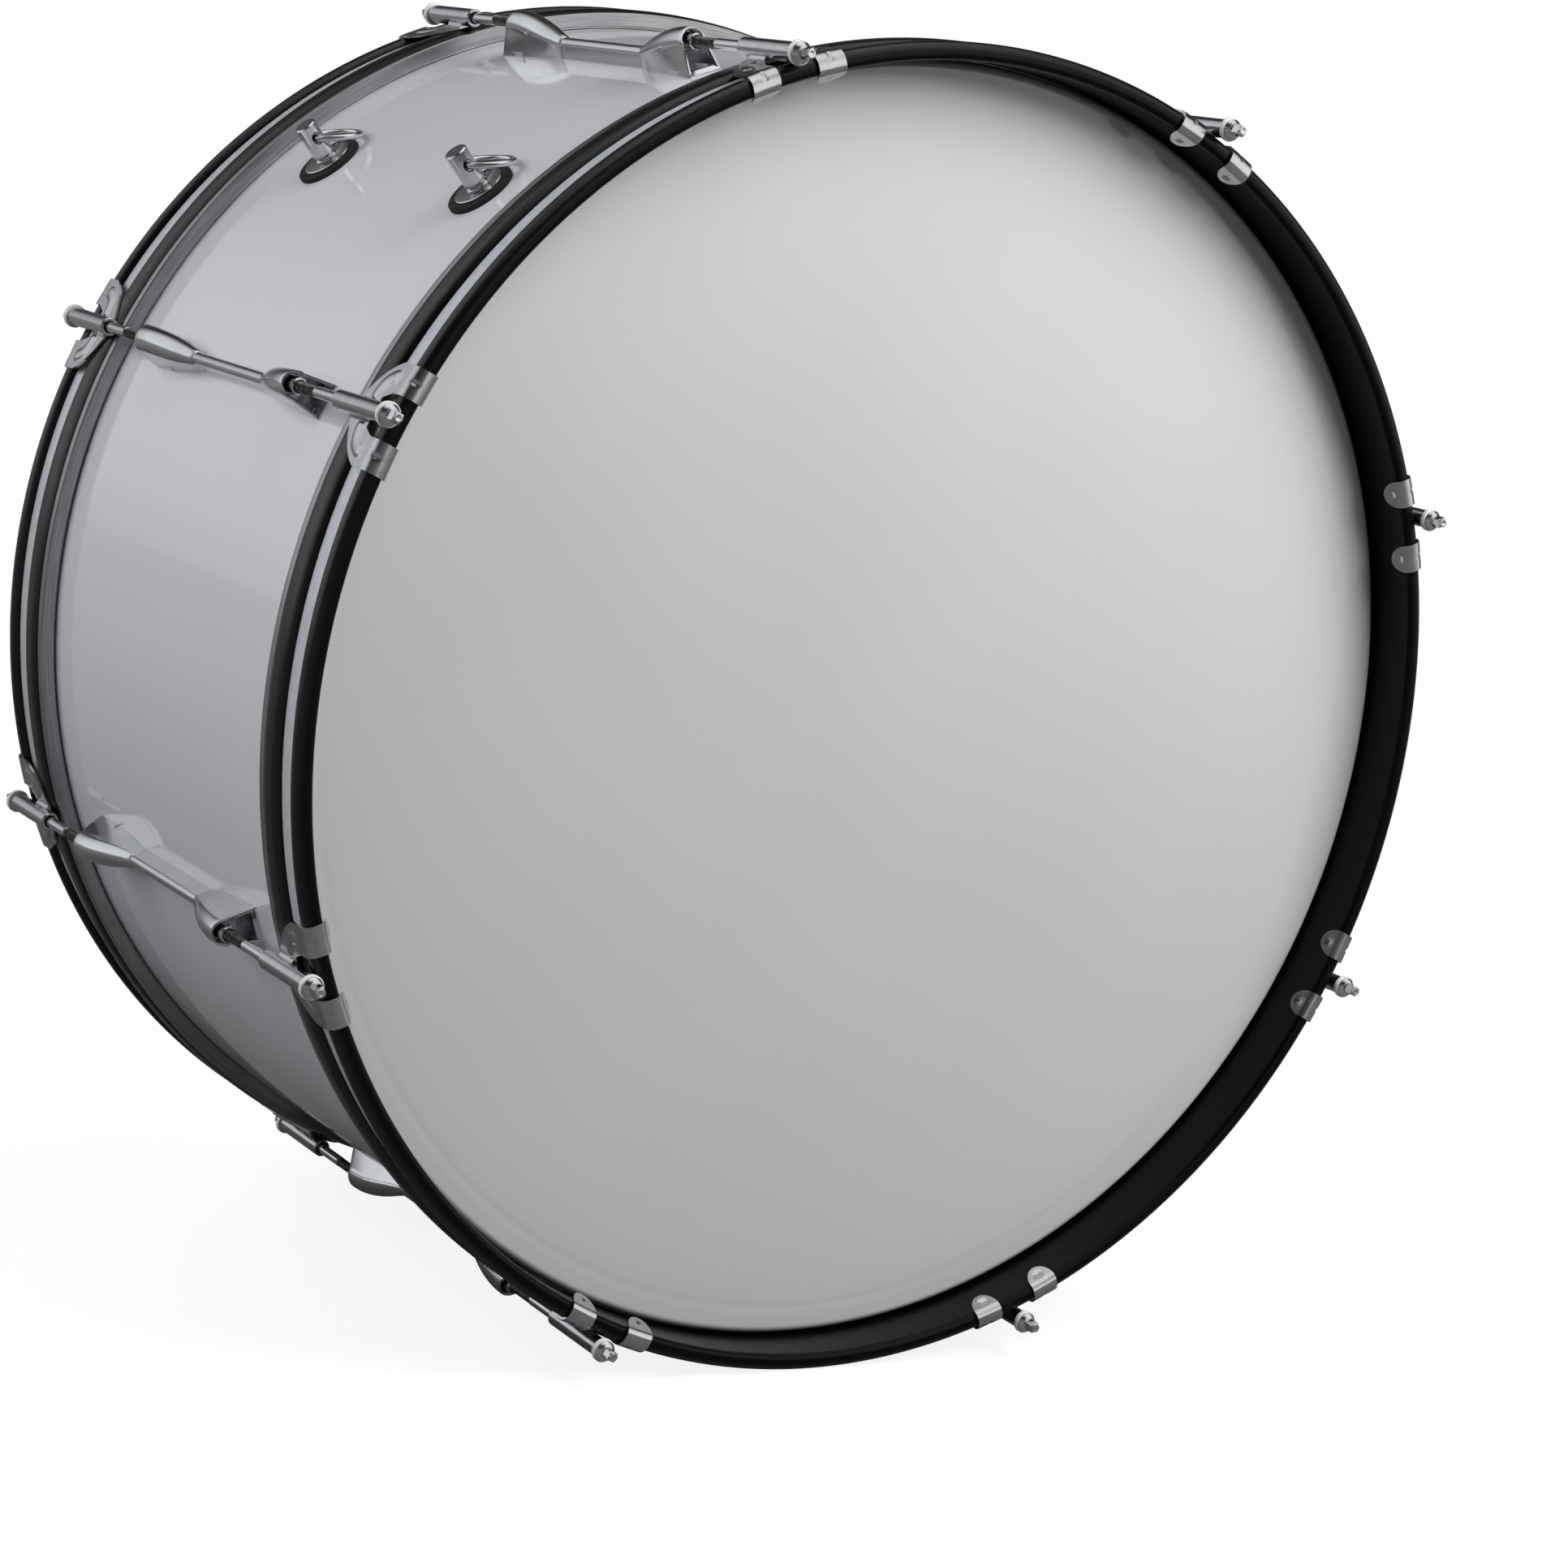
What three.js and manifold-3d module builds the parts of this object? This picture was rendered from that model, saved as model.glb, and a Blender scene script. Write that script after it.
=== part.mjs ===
// Marching bass drum, standing on its two hoops. Millimetres, +Z up, the drum's axis along Y.
// The batter head faces -Y. The origin lies on the floor under the middle of the drum.

import * as THREE from 'three';
import { mergeVertices } from 'three/addons/utils/BufferGeometryUtils.js';
import Module from 'manifold-3d';

const wasm = await Module();
wasm.setup();

// Shell and wrap
const shellDiameter = 660.4;
const shellDepth = 304.8;
const shellWall = 6.5;
const bearingBevel = 2.8;
const bearingRound = 3.2;
const wrapThickness = 0.5;
const wrapSetBack = 4.2;

// Head film and the flesh hoop, a channel that holds the film's edge
const filmThickness = 0.3;
const collarCorner = 4;
const filmGrip = 1.2;
const fleshDrop = 9.9;
const fleshHeight = 5.2;
const fleshSheet = 1;
const fleshInset = 1.6;
const fleshLip = 5;

// Counterhoop: two beads, the groove between them with its inlay, and the rounded lip
const hoopWall = 9.1;
const hoopDepth = 38.8;
const hoopHeadClearance = 0.7;
const hoopRebate = 0.5;
const hoopRebateDepth = 12.2;
const innerBeadWidth = 15.9;
const innerBeadLand = 5;
const grooveWidth = 9.5;
const beadDrop = 3.4;
const grooveDepth = 4.3;
const inlayThickness = 0.6;
const hoopCorner = 1.4;
const lipOuterRadius = 4.4;
const lipInnerRadius = 3;
const outerBeadLand = 4.4;

// Tension rods, each with its washer under the collar
const stationCount = 8;
const rodDiameter = 5.6;
const rodEngagement = 22;
const washerDiameter = 12.2;
const washerThickness = 2.8;
const rodCollarDiameter = 10.8;
const rodCollarThickness = 2.2;
const rodDriveSize = 5;
const rodDriveLength = 5.9;
const rodTipDiameter = 4.6;
const rodTipLength = 1.2;

// Claws: a tube for the rod, two wings on the hoop and two straps over its lip
const tubeDiameter = 9.6;
const tubeHoopClearance = 0.6;
const tubeRearReach = 5.3;
const tubeFrontReach = 2.4;
const clawSheet = 1.3;
const wingSetForward = 4.4;
const wingRootHalf = 5.5;
const wingBulgeHalf = 21;
const wingBulge = 11.7;
const wingEnd = 25.4;
const clawHalf = 26.4;
const strapWidth = 15.4;
const shoulder = 30;
const notchFloor = 22.4;
const notchHalf = 7.6;
const tabReach = 8.1;
const tabSplay = 28 * Math.PI / 180;
const neckFootHalf = 6.6;
const neckTopHalf = 3.8;
const neckHeight = 3.4;
const neckLength = 14.4;

// Lugs: a bridge between two hoods, each with its mouth, its foot and its nut
const lugHalfLength = 96;
const hoodStart = 41;
const bridgeWidth = 6.7;
const bridgeHeight = 10.3;
const hoodHeight = 22.6;
const hoodTopWidth = 14.4;
const footWidth = 18.4;
const footThickness = 2.8;
const footEdge = 0.9;
const footBevel = 1.8;
const mouthSetBack = 8.5;
const hoodWall = 1.4;
const cavityDepth = 20;
const nutDiameter = 8.4;
const nutSetBack = 2;

// The hood's swelling from the bridge to the mouth, as shares of its length and of its three growths
const hoodAlongShares = [0, 0.073, 0.164, 0.345, 0.6, 1];
const hoodRiseShares = [0, 0.16, 0.33, 0.6, 0.91, 1];
const hoodTopShares = [0, 0.3, 0.58, 0.84, 0.97, 1];
const hoodFootShares = [0, 0.08, 0.31, 0.6, 0.84, 1];

// Sling-ring posts, each on a plate and a gasket
const postAngle = -Math.PI / 4;
const postSpread = 83.3;
const gasketDiameter = 35;
const gasketThickness = 1.8;
const plateDiameter = 26;
const plateThickness = 1;
const postDiameter = 11.6;
const postHeight = 20.1;
const postNeckDiameter = 9;
const postNeckHeight = 2.2;
const postBevel = 0.7;
const ringHoleDiameter = 5.5;
const ringHoleDrop = 8;
const ringDiameter = 30;
const ringWire = 3.5;

// Clearance between pieces that touch, and how far a cutter runs past what it cuts
const gap = 0.3;
const overrun = 2;

// Facets: one flat of every big ring lies under each station, at the floor and at the posts
const ringSegments = 32;
const roundSides = 8;
const postSides = 12;
const ringTurns = 20;
const ringWireSides = 6;
const archSteps = 4;
const bendSteps = 2;
const tabSteps = 4;
const wingSteps = 3;

// Radii about the drum's axis
const wrapRadius = shellDiameter / 2;
const woodRadius = wrapRadius - wrapThickness - gap;
const collarRadius = wrapRadius + gap;
const hoopBore = collarRadius + filmThickness + hoopHeadClearance;
const crestRadius = hoopBore + hoopWall;
const fleshRadius = crestRadius - fleshInset;
const rodAxisRadius = crestRadius + tubeHoopClearance + tubeDiameter / 2;
const seatRadius = wrapRadius + gap;

// Places along the drum's axis, from its middle towards either head
const shellEdge = shellDepth / 2;
const filmSeat = shellEdge + gap;
const fleshTop = shellEdge - fleshDrop;
const fleshFoot = fleshTop - fleshHeight;
const filmFlange = (fleshTop + fleshFoot - filmThickness) / 2;
const hoopBack = fleshTop + gap;
const hoopFront = hoopBack + hoopDepth;
const grooveBack = hoopBack + innerBeadWidth;
const grooveFront = grooveBack + grooveWidth;
const tubeBack = hoopBack - tubeRearReach;
const tubeFront = hoopFront + tubeFrontReach;
const collarBack = tubeFront + gap + washerThickness;
const driveBack = collarBack + rodCollarThickness;
const tipBack = driveBack + rodDriveLength;
const nutFront = lugHalfLength - nutSetBack;
const rodEnd = nutFront - rodEngagement;

const chrome = new THREE.MeshStandardMaterial({ color: 0xc9cacd, roughness: 0.12, metalness: 1 });
const satinChrome = new THREE.MeshStandardMaterial({ color: 0xb4b5b8, roughness: 0.28, metalness: 1 });
const blackEnamel = new THREE.MeshStandardMaterial({ color: 0x0b0b0d, roughness: 0.22, metalness: 0.3 });
const stripe = new THREE.MeshStandardMaterial({ color: 0xb9bcc0, roughness: 0.3, metalness: 0.2 });
const brushedAluminium = new THREE.MeshStandardMaterial({ color: 0xa9aaab, roughness: 0.4, metalness: 1 });
const glossWhite = new THREE.MeshStandardMaterial({ color: 0xe3e5ea, roughness: 0.12, metalness: 0 });
const coatedFilm = new THREE.MeshStandardMaterial({ color: 0xe6e6e8, roughness: 0.5, metalness: 0 });
const birch = new THREE.MeshStandardMaterial({ color: 0xc9a778, roughness: 0.6, metalness: 0 });
const blackRubber = new THREE.MeshStandardMaterial({ color: 0x0a0a0a, roughness: 0.7, metalness: 0 });

// Geometry helpers

// Merges shared vertices and drops the triangles that have shrunk to a line.
function closed(geometry) {
  geometry.deleteAttribute('normal');
  geometry.deleteAttribute('uv');
  const merged = mergeVertices(geometry);
  const index = merged.index.array;
  const kept = [];
  for (let i = 0; i < index.length; i += 3) {
    const [a, b, c] = [index[i], index[i + 1], index[i + 2]];
    if (a !== b && b !== c && c !== a) kept.push(a, b, c);
  }
  merged.setIndex(kept);
  return merged;
}

function solid(geometry) {
  const merged = closed(geometry);
  return new wasm.Manifold(new wasm.Mesh({
    numProp: 3,
    vertProperties: Float32Array.from(merged.attributes.position.array),
    triVerts: Uint32Array.from(merged.index.array),
  }));
}

function geometryOf(body) {
  const mesh = body.getMesh();
  const geometry = new THREE.BufferGeometry();
  geometry.setAttribute('position', new THREE.BufferAttribute(mesh.vertProperties, 3));
  geometry.setIndex(new THREE.BufferAttribute(mesh.triVerts, 1));
  return geometry;
}

// A profile of [radius, along] pairs turned about the Y axis.
function turned(profile, sides, startAngle = 0) {
  const points = profile.map(([radius, along]) => new THREE.Vector2(radius, along));
  return closed(new THREE.LatheGeometry(points, sides, startAngle, 2 * Math.PI));
}

// A closed ring about the drum's axis whose flats lie at the profile's radii.
function bigRing(profile) {
  const halfFacet = Math.PI / ringSegments;
  const loop = [...profile, profile[0]];
  return turned(loop.map(([radius, along]) => [radius / Math.cos(halfFacet), along]), ringSegments, halfFacet);
}

// A round bar along Y between two places. Its flats or its corners lie at the radius.
function bar(radius, from, to, sides, onFlats = false) {
  const reach = onFlats ? radius / Math.cos(Math.PI / sides) : radius;
  return turned([[0, from], [reach, from], [reach, to], [0, to]], sides, Math.PI / sides);
}

// Points [radius, along] of a bend round a lip: turn 0 faces outward, a quarter faces forward.
function bend([centreRadius, centreAlong], radius, fromTurn, toTurn) {
  return Array.from({ length: bendSteps + 1 }, (_, i) => {
    const turn = fromTurn + (toTurn - fromTurn) * i / bendSteps;
    return [centreRadius + radius * Math.cos(turn), centreAlong + radius * Math.sin(turn)];
  });
}

// An outline of [across, along] points raised between two heights.
function raised(outline, bottom, top) {
  const shape = new THREE.Shape(outline.map(([x, y]) => new THREE.Vector2(x, y)));
  const geometry = new THREE.ExtrudeGeometry(shape, { depth: top - bottom, bevelEnabled: false });
  return geometry.translate(0, 0, bottom);
}

// An outline of [along, height] points drawn out to both sides of the middle.
function drawnAcross(outline, width) {
  const shape = new THREE.Shape(outline.map(([x, y]) => new THREE.Vector2(x, y)));
  const geometry = new THREE.ExtrudeGeometry(shape, { depth: width, bevelEnabled: false });
  const turn = new THREE.Matrix4().makeBasis(
    new THREE.Vector3(0, 1, 0),
    new THREE.Vector3(0, 0, 1),
    new THREE.Vector3(1, 0, 0),
  );
  return geometry.applyMatrix4(turn).translate(-width / 2, 0, 0);
}

// A skin through sections of equal point counts, capped at both ends.
function lofted(sections) {
  const count = sections[0].length;
  const positions = sections.flat().flatMap((point) => point.toArray());
  const index = [];
  for (let i = 0; i + 1 < sections.length; i += 1) {
    for (let j = 0; j < count; j += 1) {
      const a = i * count + j;
      const b = i * count + (j + 1) % count;
      index.push(a, b + count, b, a, a + count, b + count);
    }
  }
  const last = (sections.length - 1) * count;
  for (let j = 1; j + 1 < count; j += 1) {
    index.push(0, j, j + 1, last, last + j + 1, last + j);
  }
  const geometry = new THREE.BufferGeometry();
  geometry.setAttribute('position', new THREE.Float32BufferAttribute(positions, 3));
  geometry.setIndex(index);
  return geometry;
}

const lerp = THREE.MathUtils.lerp;
const quarter = Math.PI / 2;

// The value of a table of shares at a place given as a share of the length.
function shareAt(table, place) {
  const last = hoodAlongShares.length - 1;
  const step = Math.min(hoodAlongShares.findLastIndex((share) => share <= place), last - 1);
  const part = (place - hoodAlongShares[step]) / (hoodAlongShares[step + 1] - hoodAlongShares[step]);
  return lerp(table[step], table[step + 1], part);
}

// Shell

function shellGeometry() {
  const inner = woodRadius - shellWall;
  const half = [
    [inner, shellEdge - bearingBevel],
    [inner + bearingBevel, shellEdge],
    [woodRadius - bearingRound, shellEdge],
    [woodRadius - bearingRound * (1 - Math.SQRT1_2), shellEdge - bearingRound * (1 - Math.SQRT1_2)],
    [woodRadius, shellEdge - bearingRound],
  ];
  const mirrored = half.map(([radius, along]) => [radius, -along]).reverse();
  return bigRing([...mirrored, ...half].reverse());
}

function wrapGeometry() {
  const end = shellEdge - wrapSetBack;
  const inner = wrapRadius - wrapThickness;
  return bigRing([[inner, -end], [wrapRadius, -end], [wrapRadius, end], [inner, end]]);
}

// Head

// The film lies flat over the bearing edge, turns down as a collar and grips the flesh hoop's channel.
function filmGeometry() {
  const outerCollar = collarRadius + filmThickness;
  const grip = fleshRadius - fleshSheet - filmGrip;
  const centre = [collarRadius - collarCorner, filmSeat - collarCorner];
  const profile = [
    [0, filmSeat],
    ...bend(centre, collarCorner, 0, quarter).reverse(),
    [collarRadius, filmFlange],
    [grip, filmFlange],
    [grip, filmFlange + filmThickness],
    [outerCollar, filmFlange + filmThickness],
    ...bend(centre, collarCorner + filmThickness, 0, quarter),
    [0, filmSeat + filmThickness],
  ];
  const halfFacet = Math.PI / ringSegments;
  return turned(profile.map(([radius, along]) => [radius / Math.cos(halfFacet), along]), ringSegments, halfFacet);
}

function fleshHoopGeometry() {
  const innerWall = fleshRadius - fleshSheet;
  return bigRing([
    [hoopBore, fleshTop - fleshSheet],
    [innerWall, fleshTop - fleshSheet],
    [innerWall, fleshFoot + fleshSheet],
    [fleshRadius - fleshLip, fleshFoot + fleshSheet],
    [fleshRadius - fleshLip, fleshFoot],
    [fleshRadius, fleshFoot],
    [fleshRadius, fleshTop],
    [hoopBore, fleshTop],
  ]);
}

// Counterhoop

const lipOuterCentre = [crestRadius - lipOuterRadius, hoopFront - lipOuterRadius];
const lipInnerCentre = [hoopBore + lipInnerRadius, hoopFront - lipInnerRadius];

function hoopGeometry() {
  const grooveRim = crestRadius - beadDrop;
  const grooveFloor = crestRadius - grooveDepth;
  const innerLandMiddle = (hoopBack + grooveBack) / 2;
  const outerLandBack = hoopFront - lipOuterRadius - outerBeadLand;
  return bigRing([
    [hoopBore + hoopRebate, hoopBack],
    [crestRadius - hoopCorner, hoopBack],
    [crestRadius, innerLandMiddle - innerBeadLand / 2],
    [crestRadius, innerLandMiddle + innerBeadLand / 2],
    [grooveRim, grooveBack],
    [grooveFloor, grooveBack],
    [grooveFloor, grooveFront],
    [grooveRim, grooveFront],
    [crestRadius, outerLandBack],
    ...bend(lipOuterCentre, lipOuterRadius, 0, quarter),
    ...bend(lipInnerCentre, lipInnerRadius, quarter, 2 * quarter),
    [hoopBore, hoopBack + hoopRebateDepth],
    [hoopBore + hoopRebate, hoopBack + hoopRebateDepth],
  ]);
}

function inlayGeometry() {
  const inner = crestRadius - grooveDepth + gap;
  const outer = inner + inlayThickness;
  const back = grooveBack + gap;
  const front = grooveFront - gap;
  return bigRing([[inner, back], [outer, back], [outer, front], [inner, front]]);
}

// Claw

// A path at a distance from the hoop: along the beads, round the lip, then splayed off the inner wall.
function overTheHoop(distance) {
  const roundTheLip = bend(lipInnerCentre, lipInnerRadius + distance, quarter, 2 * quarter - tabSplay);
  const [leaveRadius, leaveAlong] = roundTheLip.at(-1);
  return [
    [crestRadius + distance, hoopBack],
    ...bend(lipOuterCentre, lipOuterRadius + distance, 0, quarter),
    ...roundTheLip,
    [leaveRadius - (leaveAlong - hoopBack) * Math.tan(tabSplay), hoopBack],
  ];
}

// The sheet's outline seen from outside: two wings behind, two straps in front, a notch at the tube.
function clawOutline() {
  const strapInner = clawHalf - strapWidth;
  const front = hoopFront + clawSheet + overrun;
  const wing = new THREE.QuadraticBezierCurve(
    new THREE.Vector2(wingRootHalf, hoopBack + wingSetForward),
    new THREE.Vector2(wingBulgeHalf, hoopBack + wingBulge),
    new THREE.Vector2(clawHalf, hoopBack + wingEnd),
  );
  const right = [
    ...wing.getPoints(wingSteps).map((point) => point.toArray()),
    [clawHalf, front],
    [strapInner, front],
    [strapInner, hoopBack + shoulder],
    [notchHalf, hoopBack + notchFloor],
  ];
  const left = right.map(([across, along]) => [-across, along]).reverse();
  return [...right, ...left];
}

// The straps' half-round ends on the hoop's inner wall.
function tabOutline(side) {
  const radius = strapWidth / 2;
  const middle = side * (clawHalf - radius);
  const centre = hoopFront - tabReach + radius;
  const front = hoopFront + clawSheet + overrun;
  const round = Array.from({ length: tabSteps + 1 }, (_, i) => {
    const turn = Math.PI * (1 + i / tabSteps);
    return [middle + radius * Math.cos(turn), centre + radius * Math.sin(turn)];
  });
  return [...round, [middle + radius, front], [middle - radius, front]];
}

function clawGeometry() {
  const lipMiddle = (lipInnerCentre[0] + lipOuterCentre[0]) / 2;
  const below = hoopBore - hoopDepth;
  const above = crestRadius + gap + clawSheet + overrun;
  const sheet = solid(bigRing([...overTheHoop(gap + clawSheet), ...overTheHoop(gap).reverse()]));
  const tabs = [-1, 1].map((side) => solid(raised(tabOutline(side), below, lipMiddle)));
  const outline = tabs.reduce((body, tab) => body.add(tab), solid(raised(clawOutline(), lipMiddle, above)));
  const neck = lofted([0, neckLength].map((along) => [
    [neckFootHalf, 0],
    [neckTopHalf, neckHeight],
    [-neckTopHalf, neckHeight],
    [-neckFootHalf, 0],
  ].map(([across, height]) => new THREE.Vector3(across, along, height))));
  neck.translate(0, hoopBack + wingSetForward, crestRadius + gap + clawSheet / 2);
  const tube = bar(tubeDiameter / 2, tubeBack, tubeFront, roundSides, true).translate(0, 0, rodAxisRadius);
  const bore = bar(rodDiameter / 2 + gap, tubeBack - overrun, tubeFront + overrun, roundSides, true);
  bore.translate(0, 0, rodAxisRadius);
  const bracket = sheet.intersect(outline);
  return geometryOf(bracket.add(solid(neck)).add(solid(tube)).subtract(solid(bore)));
}

// Tension rod

function rodGeometry() {
  const shank = rodDiameter / 2;
  const washer = washerDiameter / 2;
  const collar = rodCollarDiameter / 2;
  const body = turned([
    [0, rodEnd],
    [shank, rodEnd],
    [shank, tubeFront + gap],
    [washer, tubeFront + gap],
    [washer, collarBack],
    [collar, collarBack],
    [rodDriveSize / 2, driveBack],
    [0, driveBack],
  ], roundSides, Math.PI / roundSides);
  const drive = new THREE.BoxGeometry(rodDriveSize, tipBack - collarBack, rodDriveSize);
  drive.translate(0, (tipBack + collarBack) / 2, 0);
  const tip = bar(rodTipDiameter / 2, tipBack - rodTipLength, tipBack + rodTipLength, roundSides);
  const whole = solid(body).add(solid(drive)).add(solid(tip));
  return geometryOf(whole).translate(0, 0, rodAxisRadius);
}

// Lug

// A section of the lug with straight flanks and a round top.
function archSection(along, footHalf, topHalf, height, floor) {
  const round = Array.from({ length: archSteps + 1 }, (_, i) => {
    const turn = Math.PI * i / archSteps;
    return [topHalf * Math.cos(turn), height - topHalf + topHalf * Math.sin(turn)];
  });
  return [[footHalf, floor], ...round, [-footHalf, floor]]
    .map(([across, up]) => new THREE.Vector3(across, along, up));
}

// The hood's section at a share of its length, drawn in by a wall where that is given.
function hoodSection(share, side, wall, floor) {
  const along = side * (hoodStart + share * (lugHalfLength - hoodStart));
  const within = Math.min(share, 1);
  const footHalf = lerp(bridgeWidth, footWidth, shareAt(hoodFootShares, within)) / 2 - wall;
  const topHalf = lerp(bridgeWidth, hoodTopWidth, shareAt(hoodTopShares, within)) / 2 - wall;
  const height = lerp(bridgeHeight, hoodHeight, shareAt(hoodRiseShares, within)) - wall;
  return archSection(along, footHalf, topHalf, height, floor);
}

function lugOuter() {
  const front = hoodAlongShares.map((share) => hoodSection(share, 1, 0, 0));
  const rear = [...hoodAlongShares].reverse().map((share) => hoodSection(share, -1, 0, 0));
  return solid(lofted([...rear, ...front]));
}

// What is cut from the front end: the room behind the mouth and the slant of the mouth over the foot.
function lugHollow() {
  const hoodLength = lugHalfLength - hoodStart;
  const backShare = 1 - cavityDepth / hoodLength;
  const frontShare = 1 + overrun / hoodLength;
  const shares = [backShare, ...hoodAlongShares.filter((share) => share > backShare), frontShare];
  const room = lofted(shares.map((share) => hoodSection(share, 1, hoodWall, footThickness)));
  const mouth = drawnAcross([
    [lugHalfLength - mouthSetBack, hoodHeight + overrun],
    [lugHalfLength - footBevel, footThickness],
    [lugHalfLength, footEdge],
    [lugHalfLength + overrun, footEdge],
    [lugHalfLength + overrun, hoodHeight + overrun],
  ].reverse(), footWidth + overrun);
  return solid(room).add(solid(mouth));
}

function lugGeometry() {
  const axisHeight = rodAxisRadius - seatRadius;
  const hollow = lugHollow();
  const nutBack = lugHalfLength - cavityDepth - hoodWall;
  const nut = bar(nutDiameter / 2, nutBack, nutFront, roundSides).translate(0, 0, axisHeight);
  const bore = bar(rodDiameter / 2 + gap, rodEnd - overrun, nutFront + overrun, roundSides, true);
  bore.translate(0, 0, axisHeight);
  const [nutSolid, boreSolid] = [solid(nut), solid(bore)];
  let body = lugOuter();
  for (const turn of [0, 180]) {
    body = body.subtract(hollow.rotate([0, 0, turn]));
    body = body.add(nutSolid.rotate([0, 0, turn]));
    body = body.subtract(boreSolid.rotate([0, 0, turn]));
  }
  return geometryOf(body).translate(0, 0, seatRadius);
}

// Sling-ring post

const plateSeat = seatRadius + gasketThickness + gap;
const postSeat = plateSeat + plateThickness + gap;
const ringHoleRadius = postSeat + postHeight - ringHoleDrop;

function gasketGeometry() {
  return bar(gasketDiameter / 2, 0, gasketThickness, postSides).rotateX(quarter).translate(0, 0, seatRadius);
}

function plateGeometry() {
  return bar(plateDiameter / 2, 0, plateThickness, postSides).rotateX(quarter).translate(0, 0, plateSeat);
}

function postGeometry() {
  const [neck, outer] = [postNeckDiameter / 2, postDiameter / 2];
  const body = turned([
    [0, 0],
    [outer, 0],
    [neck, postNeckHeight / 2],
    [outer, postNeckHeight],
    [outer, postHeight - postBevel],
    [outer - postBevel, postHeight],
    [0, postHeight],
  ], postSides).rotateX(quarter).translate(0, 0, postSeat);
  const hole = bar(ringHoleDiameter / 2, -postDiameter, postDiameter, roundSides, true);
  hole.translate(0, 0, ringHoleRadius);
  return geometryOf(solid(body).subtract(solid(hole)));
}

// The ring's wire bends inside the straight hole, so the ring hangs a little off the hole's axis.
const wireCircle = (ringDiameter - ringWire) / 2;
const wireBow = wireCircle - Math.sqrt(wireCircle ** 2 - (postDiameter / 2) ** 2);
const ringReach = wireCircle - wireBow / 2;

// How far the ring sinks below the tangent before its far edge meets the wrap's flat.
const ringRest = seatRadius + ringWire / 2;
const ringDroop = Math.asin((ringHoleRadius - ringRest) / (ringReach + wireCircle));

function ringGeometry() {
  return closed(new THREE.TorusGeometry(wireCircle, ringWire / 2, ringWireSides, ringTurns));
}

// Assembly

const drum = new THREE.Group();
drum.position.z = crestRadius;

function place(parent, name, geometry, material) {
  const mesh = new THREE.Mesh(geometry, material);
  mesh.name = name;
  parent.add(mesh);
  return mesh;
}

place(drum, 'shell', shellGeometry(), birch);
place(drum, 'shell_wrap', wrapGeometry(), glossWhite);

const film = filmGeometry();
const fleshHoop = fleshHoopGeometry();
const hoop = hoopGeometry();
const inlay = inlayGeometry();
const claw = clawGeometry();
const rod = rodGeometry();
const lug = lugGeometry();
const gasket = gasketGeometry();
const plate = plateGeometry();
const post = postGeometry();
const ring = ringGeometry();

// Pieces are made for the rear side, and the front side is the same half turned round.
const sides = [['front', Math.PI], ['rear', 0]];

for (const [side, turn] of sides) {
  const half = new THREE.Group();
  half.rotation.z = turn;
  drum.add(half);
  place(half, `head_${side}`, film, coatedFilm);
  place(half, `flesh_hoop_${side}`, fleshHoop, brushedAluminium);
  place(half, `hoop_${side}`, hoop, blackEnamel);
  place(half, `hoop_inlay_${side}`, inlay, stripe);
}

for (let k = 0; k < stationCount; k += 1) {
  const station = new THREE.Group();
  station.rotation.y = (k - 0.5) * 2 * Math.PI / stationCount;
  drum.add(station);
  place(station, `lug_${k + 1}`, lug, chrome);
  for (const [side, turn] of sides) {
    const half = new THREE.Group();
    half.rotation.z = turn;
    station.add(half);
    place(half, `claw_${side}_${k + 1}`, claw, satinChrome);
    place(half, `rod_${side}_${k + 1}`, rod, chrome);
  }
}

for (const [side, turn] of sides) {
  const station = new THREE.Group();
  station.rotation.y = postAngle;
  drum.add(station);
  const mount = new THREE.Group();
  mount.position.y = turn ? -postSpread : postSpread;
  station.add(mount);
  place(mount, `post_gasket_${side}`, gasket, blackRubber);
  place(mount, `post_plate_${side}`, plate, chrome);
  place(mount, `ring_post_${side}`, post, chrome);
  const swing = new THREE.Group();
  swing.position.z = ringHoleRadius;
  swing.rotation.y = ringDroop;
  mount.add(swing);
  const mesh = place(swing, `ring_${side}`, ring, chrome);
  mesh.position.x = ringReach;
}

export default drum;
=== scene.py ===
import math

import bmesh
import bpy
from mathutils import Matrix, Vector


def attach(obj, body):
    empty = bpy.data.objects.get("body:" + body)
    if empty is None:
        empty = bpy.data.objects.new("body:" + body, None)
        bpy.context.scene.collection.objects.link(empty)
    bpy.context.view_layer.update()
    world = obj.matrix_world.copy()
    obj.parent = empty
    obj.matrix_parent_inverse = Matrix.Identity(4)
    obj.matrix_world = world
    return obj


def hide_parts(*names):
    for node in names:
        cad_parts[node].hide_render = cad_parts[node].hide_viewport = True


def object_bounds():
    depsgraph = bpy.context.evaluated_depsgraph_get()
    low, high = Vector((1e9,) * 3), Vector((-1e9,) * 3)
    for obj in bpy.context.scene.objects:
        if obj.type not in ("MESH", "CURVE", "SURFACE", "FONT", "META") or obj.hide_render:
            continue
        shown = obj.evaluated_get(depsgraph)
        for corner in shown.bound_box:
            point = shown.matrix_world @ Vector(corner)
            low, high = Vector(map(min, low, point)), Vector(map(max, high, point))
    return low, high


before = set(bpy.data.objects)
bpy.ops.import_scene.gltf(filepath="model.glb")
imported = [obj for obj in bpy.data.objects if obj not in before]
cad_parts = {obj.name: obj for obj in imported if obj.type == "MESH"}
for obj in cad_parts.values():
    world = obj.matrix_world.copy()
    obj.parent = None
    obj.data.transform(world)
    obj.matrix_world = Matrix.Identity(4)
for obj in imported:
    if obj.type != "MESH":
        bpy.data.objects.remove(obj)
cad_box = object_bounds()


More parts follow.
